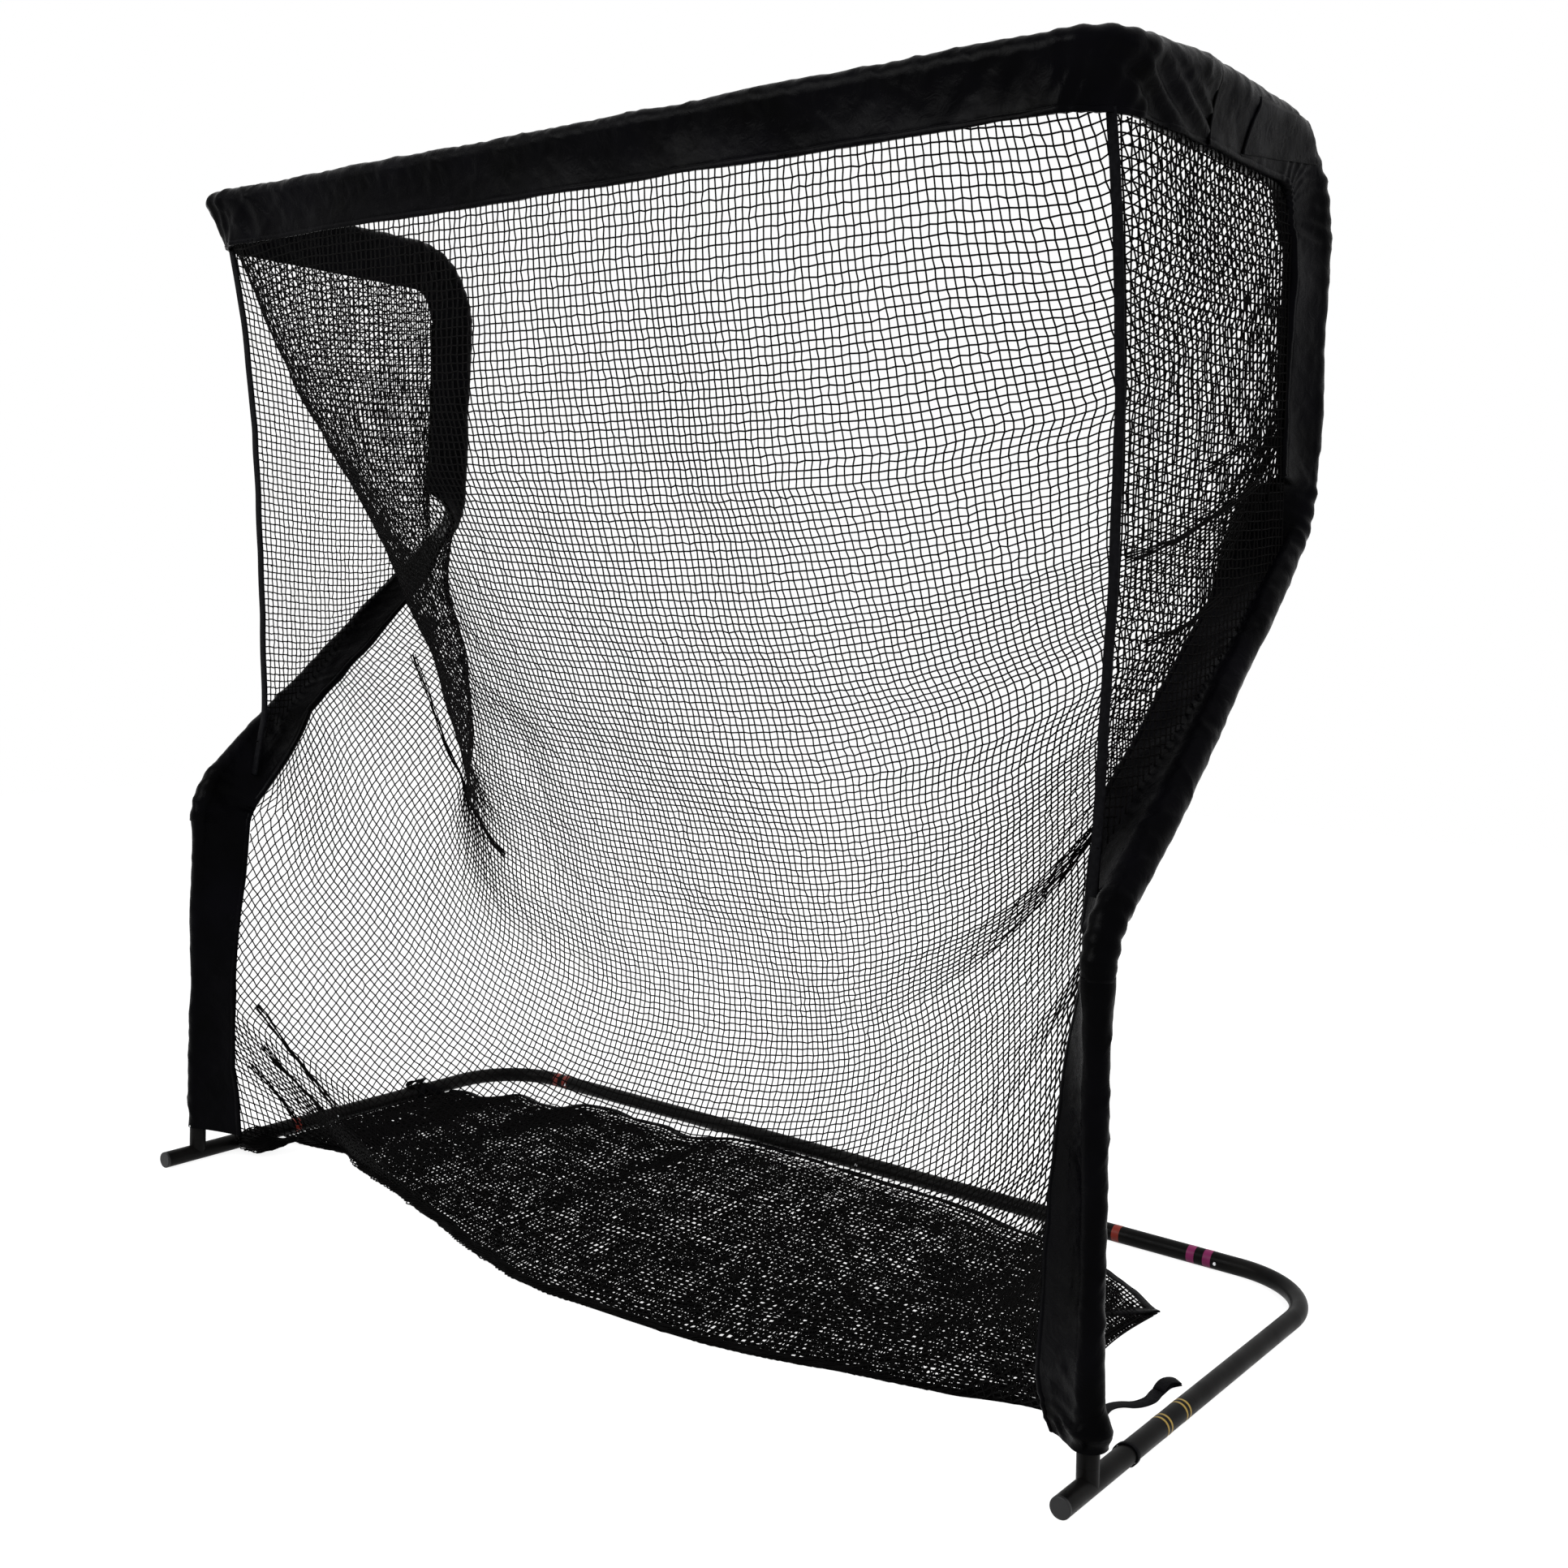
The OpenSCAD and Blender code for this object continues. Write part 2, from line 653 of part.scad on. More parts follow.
function edge_share(v) = lookup(v, [[0, 0], [0.15, 0.24], [0.35, 0.42], [0.65, 0.72], [1, 1]]);
function middle_power(v) = lookup(v, [[0, 12], [0.3, 6], [0.6, 4], [1, 2]]);
main_point = function (u, v)
    let (w = 2 * u - 1, q = abs(w), e = along(net_edge, edge_share(v)), m = along(net_middle, v))
    [w * e[0], m[1] + (e[1] - m[1]) * pow(q, middle_power(v)), m[2] + (e[2] - m[2]) * pow(q, 3)];

module main_net() color(MESH)
    sheet(main_point, bars(main_cols), bars(main_rows), net_t, true);

// A side net fills its frame between the front band, the side tube, the upright and the slant.
side_top = top_s - rear_flap - seam_gap;
side_front = band_y + band_w / 2 + seam_gap;
rear_hem_y = setback - rear_flap - seam_gap;
crown_in_r = crown_r - rear_flap - seam_gap;
function rear_edge(s) =
    let (over = max(0, s - (top_s - crown_r)))
    rear_hem_y - crown_in_r + sqrt(max(0, pow(crown_in_r, 2) - pow(over, 2)));
side_point = function (u, v)
    let (s = side_top + v * (slant_top(rear_hem_y) - side_top),
        y = side_front + u * (rear_edge(s) - side_front))
    [net_split, y, side_top + v * (slant_top(y) - side_top)];

module side_net(side) color(MESH) on_side(side)
    sheet(side_point, bars(side_cols), bars(side_rows), net_t, true);

// The ground net lies flat on the floor, from the main net's lower edge to its own rear hem.
function ground_front(x) = main_point((x / net_corner[0] + 1) / 2, 1)[1];
function ground_back(w) = post_y + ground_d - 110 * pow(w, 4) + 18 * cos(540 * w);
ground_point = function (u, v)
    let (w = 2 * u - 1, x = w * (net_corner[0] + v * (ground_w / 2 - net_corner[0])),
        front = ground_front(w * net_corner[0]))
    [x, front + v * (ground_back(w) - front), net_t / 2];

module ground_net() color(MESH)
    sheet(ground_point, bars(ground_cols), bars(ground_rows), net_t, true);

hem_point_on_floor = function (u, v)
    let (w = 2 * u - 1)
    [w * ground_w / 2, ground_back(w) + seam_gap + v * ground_hem_w, net_t / 2];

module ground_hem() color(CLOTH)
    sheet(hem_point_on_floor, bars(ground_cols), [0, 1], net_t, false);

// Loose tie strap on the floor behind the right post: [across, back] from the net's corner
strap_route = [[0, 0], [4, 60], [2, 112], [22, 150], [42, 200], [60, 252]];
strap_line = [for (p = strap_route)
    [net_corner[0] + strap_w / 2 + seam_gap + p[0], net_corner[1] + p[1], band_t / 2]];
strap_point = function (u, v)
    along(strap_line, v) + [(u - 0.5) * strap_w, 0, 0];

module tie_strap() color(BLACK)
    sheet(strap_point, [0, 1], [for (i = [0:10]) i / 10], band_t, false);

// The ground net's left rear corner is tied to the base tube: a strap round the tube, open where
// the tube stands on the floor, and its tail along the floor to the corner.
ground_flare = (net_corner[0] - ground_w / 2) / (ground_back(1) - net_corner[1]);
tail_line = [
    [-post_x + 0.7 * tube_r, post_y + tie_y, band_t / 2],
    [-ground_w / 2 - seam_gap - strap_w * ground_flare, ground_back(1) - strap_w / 2, band_t / 2]];
tail_point = function (u, v)
    along(tail_line, v) + [0, (u - 0.5) * strap_w, 0];

module base_tie() color(BLACK) {
    mirrored(-1) translate([post_x, post_y + tie_y, tube_r]) rotate([90, 90, 0])
        rotate([0, 0, tape_open / 2]) rotate_extrude(angle = 360 - tape_open)
            translate([tube_r + tie_gap, -strap_w / 2]) square([band_t, strap_w]);
    sheet(tail_point, [0, 1], [0, 1], band_t, false);
}

// ---- the whole stand ----

foot(-1);  // left_foot
foot(1);  // right_foot
foot_cap(-1);  // left_foot_cap
foot_cap(1);  // right_foot_cap
base_corner(-1);  // left_base_corner
base_corner(1);  // right_base_corner
cross_bar(-1);  // cross_left_bar
cross_bar(1);  // cross_right_bar
post(-1);  // left_post
post(1);  // right_post
slant_tube(-1);  // left_slant_tube
slant_tube(1);  // right_slant_tube
crown_tube(-1);  // left_crown_tube
crown_tube(1);  // right_crown_tube
elbow(-1);  // left_elbow
elbow(1);  // right_elbow
top_bar(-1);  // top_left_bar
top_bar(1);  // top_right_bar
button_springs();
snap_button("foot", -1);  // left_foot_button
snap_button("foot", 1);  // right_foot_button
snap_button("knee", -1);  // left_knee_button
snap_button("knee", 1);  // right_knee_button
snap_button("shoulder", -1);  // left_shoulder_button
snap_button("shoulder", 1);  // right_shoulder_button
snap_button("crown", -1);  // left_crown_button
snap_button("crown", 1);  // right_crown_button
snap_button("elbow", -1);  // left_elbow_button
snap_button("elbow", 1);  // right_elbow_button
snap_button("base", -1);  // left_base_button
snap_button("base", 1);  // right_base_button
snap_button("cross", -1);  // left_cross_button
snap_button("cross", 1);  // right_cross_button
snap_button("top_centre", 1);  // top_centre_button
snap_button("cross_centre", 1);  // cross_centre_button
gold_marks();
pink_marks();
red_marks();
top_sleeve();
side_sleeve(-1);  // left_side_sleeve
side_sleeve(1);  // right_side_sleeve
post_sleeve(-1);  // left_post_sleeve
post_sleeve(1);  // right_post_sleeve
front_band(-1);  // left_front_band
front_band(1);  // right_front_band
main_net();
side_net(-1);  // left_side_net
side_net(1);  // right_side_net
ground_net();
ground_hem();
tie_strap();
base_tie();
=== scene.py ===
from math import atan2, cos, pi, radians, sin, sqrt, tan

import bpy
import numpy as np
from mathutils import Matrix, Vector


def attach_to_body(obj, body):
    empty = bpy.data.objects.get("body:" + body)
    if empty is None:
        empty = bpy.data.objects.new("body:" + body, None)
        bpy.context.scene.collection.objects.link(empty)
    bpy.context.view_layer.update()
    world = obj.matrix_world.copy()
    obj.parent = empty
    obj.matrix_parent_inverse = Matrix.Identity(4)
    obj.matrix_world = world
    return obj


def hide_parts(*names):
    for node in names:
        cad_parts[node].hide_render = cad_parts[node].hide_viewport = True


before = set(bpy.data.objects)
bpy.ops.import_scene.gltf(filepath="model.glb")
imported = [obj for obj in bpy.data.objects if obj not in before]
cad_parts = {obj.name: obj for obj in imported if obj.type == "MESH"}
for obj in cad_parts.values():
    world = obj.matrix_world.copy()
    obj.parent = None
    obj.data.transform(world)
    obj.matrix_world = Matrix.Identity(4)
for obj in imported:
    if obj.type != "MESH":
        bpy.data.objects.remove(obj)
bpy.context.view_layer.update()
bodyName = "frame"
print("stage 1: packed model loaded,", len(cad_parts), "nodes")

stand = {  # the frame's sizes in metres, the angles in degrees
    "baseWidth": 2.44, "depth": 1.155, "height": 2.29, "lean": 1.9, "stub": 0.092,
    "kneeHeight": 0.908, "shoulderHeight": 1.59, "setback": 0.771,
    "kneeRadius": 0.16, "shoulderRadius": 0.16, "crownRadius": 0.18, "elbowRadius": 0.10, "elbowFacet": 22.5,
    "tubeRadius": 0.019, "sleeveRadius": 0.022, "topClearance": 0.0005,
}
lean = radians(stand["lean"])
tubeR, sleeveR = stand["tubeRadius"], stand["sleeveRadius"]
postX, postY = stand["baseWidth"] / 2, stand["stub"] - stand["depth"] / 2
elbowSink = stand["elbowRadius"] * (1 - cos(radians(stand["elbowFacet"] / 2)))
topZ = stand["height"] - sleeveR - elbowSink - stand["topClearance"]


def upFrame(height):  # distance up the leaning side frame at a height over the floor
    return (height - tubeR) / cos(lean)


kneeUp, shoulderUp, topUp = (upFrame(h) for h in (stand["kneeHeight"], stand["shoulderHeight"], topZ))
topX = postX - topUp * sin(lean)
slant = atan2(stand["setback"], shoulderUp - kneeUp)
kneeCut = stand["kneeRadius"] * tan(slant / 2)
shoulderCut = stand["shoulderRadius"] * tan(slant / 2)

flaps = {
    "top": 0.099, "rear": 0.097, "lowEnd": 0.066, "topEnd": 0.295, "seamGap": 0.0003, "netSplit": 0.0045,
    # degrees that a side flap turns inwards round the tube, by the distance up the frame
    "turnUp": [0.20, 0.30, 0.46, 0.56, 0.665, 0.77, kneeUp, kneeUp + 0.2, shoulderUp - 0.16,
               shoulderUp - 0.05, shoulderUp + shoulderCut],
    "turn": [103, 104, 107, 114, 126, 138, 149, 90, 90, 60, 0],
    # and its width
    "widthUp": [0.15, 0.35, 0.60, kneeUp, kneeUp + 0.2, shoulderUp - 0.16, shoulderUp - shoulderCut,
                shoulderUp, shoulderUp + shoulderCut, shoulderUp + shoulderCut + 0.10],
    "width": [0.117, 0.109, 0.102, 0.115, 0.110, 0.092, 0.108, 0.115, 0.109, 0.097],
}
hemZ = topZ - flaps["top"]


def flapTurn(up):
    return np.radians(np.interp(up, flaps["turnUp"], flaps["turn"]))


def flapWidth(up):
    return np.interp(up, flaps["widthUp"], flaps["width"])


def xyz(*parts):  # points from their coordinates
    return np.stack(np.broadcast_arrays(*parts), -1)


def leanToStand(points, side):
    # Local (out, behind the post, up the frame) turned by the lean about the foot, then mirrored
    out, back, up = points[..., 0], points[..., 1], points[..., 2]
    return xyz(side * (postX + out * cos(lean) - up * sin(lean)), postY + back,
               tubeR + out * sin(lean) + up * cos(lean))


def clipped(values):  # no less than 0 and no more than 1
    return np.clip(values, 0, 1)


def eased(share):  # from 0 to 1 with a level start and end
    return share * share * (3 - 2 * share)


def softNoise(x, y, seed):
    # Random heights on a lattice, eased between the four corners of each cell
    table = np.random.default_rng(seed).uniform(-1, 1, (64, 64))
    cellX, cellY = np.floor(x).astype(int), np.floor(y).astype(int)
    shareX, shareY = eased(x - cellX), eased(y - cellY)
    low, high = (table[cellX % 64, row % 64] * (1 - shareX) + table[(cellX + 1) % 64, row % 64] * shareX
                 for row in (cellY, cellY + 1))
    return low * (1 - shareY) + high * shareY


def creaseNoise(x, y, seed):  # sharp ridges along the noise's zero lines, 1 on a ridge and 0 far off
    return (1 - np.minimum(1, np.abs(softNoise(x, y, seed)) * 2.6)) ** 2


def unit(vectors):
    return vectors / np.maximum(np.linalg.norm(vectors, axis=-1, keepdims=True), 1e-12)


def travelled(points):  # distance along a line of points, starting from 0
    return np.concatenate([[0], np.cumsum(np.linalg.norm(np.diff(points, axis=0), axis=1))])


def evenly(points, count):  # the same line with evenly spaced points
    far = travelled(points)
    at = np.linspace(0, far[-1], count)
    return np.stack([np.interp(at, far, points[:, k]) for k in range(points.shape[1])], -1)


def through(knots, values, at):
    # Cubic curve through the values at the knots, with the slope at each from its neighbours
    values, at = np.asarray(values, float), np.asarray(at, float)
    slopes = np.gradient(values, knots, axis=0)
    k = np.clip(np.searchsorted(knots, at, side="right") - 1, 0, len(knots) - 2)
    wide = np.take(knots, k + 1) - np.take(knots, k)
    t = (at - np.take(knots, k)) / wide
    shape = (-1,) + (1,) * (values.ndim - 1)
    t, wide = t.reshape(shape), wide.reshape(shape)
    return ((2 * t**3 - 3 * t**2 + 1) * values[k] + (t**3 - 2 * t**2 + t) * wide * slopes[k]
            + (3 * t**2 - 2 * t**3) * values[k + 1] + (t**3 - t**2) * wide * slopes[k + 1])


def smoothLine(knots, step=0.01, count=None):  # a cubic through knots that are points
    far = travelled(knots)
    return through(far, knots, np.linspace(0, far[-1], count or int(far[-1] / step)))


def between(grid, row, column):  # the grid's points at places between its rows and columns
    i, j = row.astype(int), column.astype(int)
    a, b = (row - i)[..., None], (column - j)[..., None]
    return ((grid[i, j] * (1 - a) + grid[i + 1, j] * a) * (1 - b)
            + (grid[i, j + 1] * (1 - a) + grid[i + 1, j + 1] * a) * b)


def roundedPath(corners, radii, step):
    # Straight runs joined by arcs that touch them, with an even step
    corners = np.asarray(corners, float)
    pieces = [corners[:1]]
    for before, corner, after, r in zip(corners, corners[1:], corners[2:], radii):
        inward, onward = unit(before - corner), unit(after - corner)
        half = np.arccos(np.clip(inward @ onward, -1, 1)) / 2
        centre = corner + unit(inward + onward) * r / sin(half)
        start, end = corner + inward * r / tan(half), corner + onward * r / tan(half)
        share = np.linspace(0, 1, 25)[:, None]
        chord = unit(unit(start - centre) * np.sin((1 - share) * (pi - 2 * half))
                     + unit(end - centre) * np.sin(share * (pi - 2 * half)))
        pieces.append(centre + r * chord)
    line = np.concatenate(pieces + [corners[-1:]])
    return evenly(line, max(2, int(round(travelled(line)[-1] / step)) + 1))


def addMesh(name, points, faces, material, cornerUv=None):
    # faces is a list of index arrays, one for each number of corners
    mesh = bpy.data.meshes.new(name)
    points = np.asarray(points, np.float32).reshape(-1, 3)
    sizes = np.concatenate([np.full(len(f), f.shape[1]) for f in faces])
    corners = np.concatenate([f.reshape(-1) for f in faces])
    mesh.vertices.add(len(points))
    mesh.vertices.foreach_set("co", points.reshape(-1))
    mesh.loops.add(len(corners))
    mesh.loops.foreach_set("vertex_index", corners.astype(np.int32))
    mesh.polygons.add(len(sizes))
    starts = np.concatenate([[0], np.cumsum(sizes)[:-1]])
    mesh.polygons.foreach_set("loop_start", starts.astype(np.int32))
    mesh.polygons.foreach_set("loop_total", sizes.astype(np.int32))
    mesh.polygons.foreach_set("use_smooth", np.ones(len(sizes), bool))
    if cornerUv is not None:
        layer = mesh.uv_layers.new(name="metres")
        layer.data.foreach_set("uv", np.concatenate([u.reshape(-1) for u in cornerUv]).astype(np.float32))
    mesh.update(calc_edges=True)
    mesh.materials.append(material)
    piece = bpy.data.objects.new(name, mesh)
    bpy.context.scene.collection.objects.link(piece)
    return piece


def volume(points, quads):  # signed volume of a closed mesh of quads
    p = np.asarray(points, float).reshape(-1, 3)
    a, b, c, d = (p[quads[:, k]] for k in range(4))
    return float((a * np.cross(b, c)).sum() + (a * np.cross(c, d)).sum()) / 6


def addGrid(name, points, material, ring=False, thickness=0.0, closed=False):
    # Rows of points become quads. A ring joins each row's last point to its first, and may be closed
    # with a face at each end.
    rows, columns = points.shape[:2]
    i, j = np.meshgrid(np.arange(rows - 1), np.arange(columns if ring else columns - 1), indexing="ij")
    row = np.stack([i, i, i + 1, i + 1], -1).reshape(-1, 4)
    column = np.stack([j, j + 1, j + 1, j], -1).reshape(-1, 4)
    quads = row * columns + column % columns
    middle = points[rows // 2]
    around = travelled(np.concatenate([middle, middle[:1]]) if ring else middle)
    along = travelled(points[:, columns // 4])
    faces, corners = [quads], [np.stack([around[column], along[row]], -1)]
    if closed:
        end = np.arange(columns)
        faces.append(np.stack([end[::-1], end + (rows - 1) * columns]))
        corners.append(np.zeros((2, columns, 2)))
    if ring and volume(points, quads) < 0:
        faces, corners = [f[:, ::-1] for f in faces], [c[:, ::-1] for c in corners]
    piece = addMesh(name, points, faces, material, corners)
    if thickness:
        wall = piece.modifiers.new("thickness", "SOLIDIFY")
        wall.thickness = thickness
        wall.offset = -1 if ring else 0
    return piece


def attach(piece, node=None):
    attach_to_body(piece, bodyName)
    if node:
        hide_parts(node)
    return piece


looks = {
    # colour, roughness and shine. patches: second colour, (size, detail, swirl) of the noise that mixes
    # it in, and the part of the noise used. gloss: noise, and the roughness from its lows to its highs.
    # bumps, one over another: noise or waves, strength, depth
    "satinBlackCoat": {
        "colour": (0.0020, 0.0019, 0.0019), "roughness": 0.36, "shine": 0.05,
        "patches": ((0.0075, 0.0070, 0.0066), (9.0, 6.0, 0.4), 0.45, 0.85),
        "gloss": ((22.0, 5.0), 0.30, 0.46),
        "bumps": [((620.0, 2.0), 0.10, 0.0006), ((60.0, 4.0), 0.06, 0.001)],
    },
    "sleeveNylon": {  # fine crinkles, and two threads crossing
        "colour": (0.0003, 0.0003, 0.0004), "roughness": 0.38, "shine": 0.018,
        "patches": ((0.0015, 0.0014, 0.0022), (7.0, 5.0), 0.35, 0.75), "gloss": ((30.0, 4.0), 0.20, 0.34),
        "bumps": [((38.0, 6.0, 1.6), 0.30, 0.004),
                  ([("X", 620.0, 0.6), "ADD", ("Y", 620.0, 0.6)], 0.12, 0.0003)],
    },
    "netTwine": {  # the strands' turns run slantwise along the cord
        "colour": (0.0016, 0.0015, 0.0016), "roughness": 0.62, "shine": 0.02,
        "patches": ((0.0050, 0.0046, 0.0045), (900.0, 3.0), 0.35, 0.8),
        "bumps": [([("DIAGONAL", 260.0, 1.0)], 0.5, 0.0006)],
    },
    "webbing": {  # ribs across the strap
        "colour": (0.0020, 0.0020, 0.0026), "roughness": 0.55, "shine": 0.03,
        "patches": ((0.0060, 0.0060, 0.0072), (120.0, 5.0), 0.4, 0.8),
        "bumps": [([("Y", 330.0, 0.4), "MULTIPLY", ("X", 198.0, 0.8)], 0.6, 0.0008)],
    },
    "brightSteel": {
        "colour": (0.66, 0.67, 0.69), "roughness": 0.22, "metallic": 1.0, "gloss": ((180.0, 4.0), 0.16, 0.34),
        "bumps": [((500.0, 3.0), 0.08, 0.0003)],
    },
}
for plasticName, plasticColour, roughness, shine in (
        ("capPlastic", (0.005, 0.005, 0.0055), 0.5, 0.3), ("goldTape", (0.27, 0.18, 0.035), 0.38, 0.2),
        ("magentaTape", (0.15, 0.008, 0.065), 0.40, 0.2),
        ("orangeRedTape", (0.145, 0.012, 0.006), 0.42, 0.2)):
    paler = tuple(min(1, part * 1.25 + 0.004) for part in plasticColour)
    looks[plasticName] = {
        "colour": plasticColour, "roughness": roughness, "shine": shine,
        "patches": (paler, (45.0, 5.0), 0.35, 0.75),
        "gloss": ((90.0, 3.0), roughness - 0.05, roughness + 0.1), "bumps": [((420.0, 2.0), 0.12, 0.0004)],
    }


def newMaterial(name, colour, roughness, metallic=0.0):
    material = bpy.data.materials.new(name)
    material.use_nodes = True
    shader = material.node_tree.nodes["Principled BSDF"]
    shader.inputs["Base Color"].default_value = (*colour, 1)
    shader.inputs["Roughness"].default_value = roughness
    shader.inputs["Metallic"].default_value = metallic
    return material, material.node_tree, shader


def addNode(tree, kind, links=(), **values):
    # A node with its inputs or settings from the values, and links as (output, name of input)
    node = tree.nodes.new(kind)
    for key, value in values.items():
        if key in node.inputs:
            node.inputs[key].default_value = value
        else:
            setattr(node, key, value)
    for output, key in links:
        tree.links.new(output, node.inputs[key])
    return node


def noiseNode(tree, place, scale, detail, distortion=0.0):
    return addNode(tree, "ShaderNodeTexNoise", [(place, "Vector")], Scale=scale, Detail=detail,
                   Distortion=distortion).outputs["Fac"]


def rampNode(tree, value, low, high, colours):
    node = addNode(tree, "ShaderNodeValToRGB", [(value, "Fac")])
    for stop, position, colour in zip(node.color_ramp.elements, (low, high), colours):
        stop.position = position
        stop.color = (*colour, 1)
    return node.outputs["Color"]


def rangeNode(tree, value, low, high, lowTo, highTo):
    limits = {"From Min": low, "From Max": high, "To Min": lowTo, "To Max": highTo}
    return addNode(tree, "ShaderNodeMapRange", [(value, "Value")], **limits).outputs["Result"]


def mathNode(tree, operation, first, second):
    node = addNode(tree, "ShaderNodeMath", operation=operation)
    for socket, value in zip(node.inputs, (first, second)):
        if isinstance(value, (int, float)):
            socket.default_value = value
        else:
            tree.links.new(value, socket)
    return node.outputs["Value"]


def waveNode(tree, metres, direction, scale, distortion):
    return addNode(tree, "ShaderNodeTexWave", [(metres, "Vector")], Scale=scale, Distortion=distortion,
                   bands_direction=direction).outputs["Fac"]


def addLook(name):
    look = looks[name]
    material, tree, shader = newMaterial(name, look["colour"], look["roughness"], look.get("metallic", 0.0))
    texture = tree.nodes.new("ShaderNodeTexCoord")
    place, metres = texture.outputs["Object"], texture.outputs["UV"]
    if "shine" in look:
        shader.inputs["Specular IOR Level"].default_value = look["shine"]
    if "patches" in look:
        second, noise, low, high = look["patches"]
        mixed = rampNode(tree, noiseNode(tree, place, *noise), low, high, (look["colour"], second))
        tree.links.new(mixed, shader.inputs["Base Color"])
    if "gloss" in look:
        noise, low, high = look["gloss"]
        rough = rangeNode(tree, noiseNode(tree, place, *noise), 0.3, 0.7, low, high)
        tree.links.new(rough, shader.inputs["Roughness"])
    below = []
    for source, strength, depth in look["bumps"]:
        if isinstance(source, tuple):
            height = noiseNode(tree, place, *source)
        else:
            waves = [waveNode(tree, metres, *wave) for wave in source[::2]]
            height = mathNode(tree, source[1], *waves) if len(waves) == 2 else waves[0]
        bump = addNode(tree, "ShaderNodeBump", [(height, "Height"), *below],
                       Strength=strength, Distance=depth)
        below = [(bump.outputs["Normal"], "Normal")]
    tree.links.new(below[0][0], shader.inputs["Normal"])
    return material


materials = {name: addLook(name) for name in looks}
nylon, twineLook, webbing, steel = (materials[name] for name in list(looks)[1:5])
tapeLooks = {"gold_marks": "goldTape", "pink_marks": "magentaTape", "red_marks": "orangeRedTape"}
for nodeName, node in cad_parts.items():
    lookName = tapeLooks.get(nodeName, "satinBlackCoat")
    if nodeName.endswith("_button") or nodeName == "button_springs":
        lookName = "brightSteel"
    if nodeName.endswith("foot_cap"):
        lookName = "capPlastic"
    for slot in node.material_slots:
        slot.material = materials[lookName]
print("stage 2: materials on the tubes, buttons and tapes")

sideNames = {-1: "left", 1: "right"}
# how much wider than the tube a side sleeve is, by the distance up the frame
fullness = {"up": [kneeUp, kneeUp + 0.1, kneeUp + 0.5, shoulderUp, shoulderUp + 0.25, topUp],
            "left": [0.002, 0.003, 0.001, 0.0, 0.0, 0.001],
            "right": [0.003, 0.008, 0.007, 0.002, 0.009, 0.013]}
sleeveCut = {
    "hemShares": [0, 0.02, 0.05, 0.08, 0.092, 0.104, 0.118, 0.14], "wallFrom": 0.18, "wallPoints": 13,
    "foldAt": [0, 0.02, 0.08, 0.104, 0.14], "fold": [0.0003, 0.0010, 0.0010, -0.0006, 0.0],
    "loopFrom": 60, "loopPoints": 34, "edge": 0.0019, "room": 0.0006, "step": 0.006, "thickness": 0.0009,
    "ease": 0.8,  # how much of a wider sleeve's width hangs below its tube
    "girth": 0.15,  # the cloth's width round the tube, without the two walls of the flap
}
wrinkles = {
    "slackDepth": 0.0032, "slackLength": 0.13, "slackAround": 0.09, "creaseDepth": 0.0042,
    "creaseLength": 0.16, "creaseWidth": 0.045, "crinkleDepth": 0.0011, "crinkleSize": 0.016,
    "flapSway": 0.006, "pleatDepth": 0.0035, "pleatLength": 0.034, "bunchDepth": 0.014, "rollDepth": 0.007,
    "inwards": 0.0022, "plainEnd": 0.03,
}


def sleeveProfile(flap, radius):
    # From the flap's front edge up to the tube, round it, and down to the flap's rear edge. Between hem
    # and tube each side eases from a flat seam to the tube's width. The folded hem is a little thicker
    # as far as its line of stitches.
    c = sleeveCut
    wall = np.linspace(c["wallFrom"], 1, c["wallPoints"], endpoint=False)
    share = np.concatenate([c["hemShares"], wall])[None, :]
    start = radians(c["loopFrom"])
    angle = np.linspace(start, 2 * pi - start, c["loopPoints"])[None, :]
    flap, radius = np.asarray(flap)[:, None], np.asarray(radius)[:, None]
    edge = c["edge"] + radius - sleeveR
    wallF = flap + (radius * cos(start) - flap) * share
    wallG = (edge + (radius * sin(start) - edge) * (0.25 * share + 0.75 * share**2.4)
             + np.interp(share, c["foldAt"], c["fold"]))
    along = np.concatenate([wallF, radius * np.cos(angle), wallF[:, ::-1]], 1)
    across = np.concatenate([wallG, radius * np.sin(angle), -wallG[:, ::-1]], 1)
    return along, across


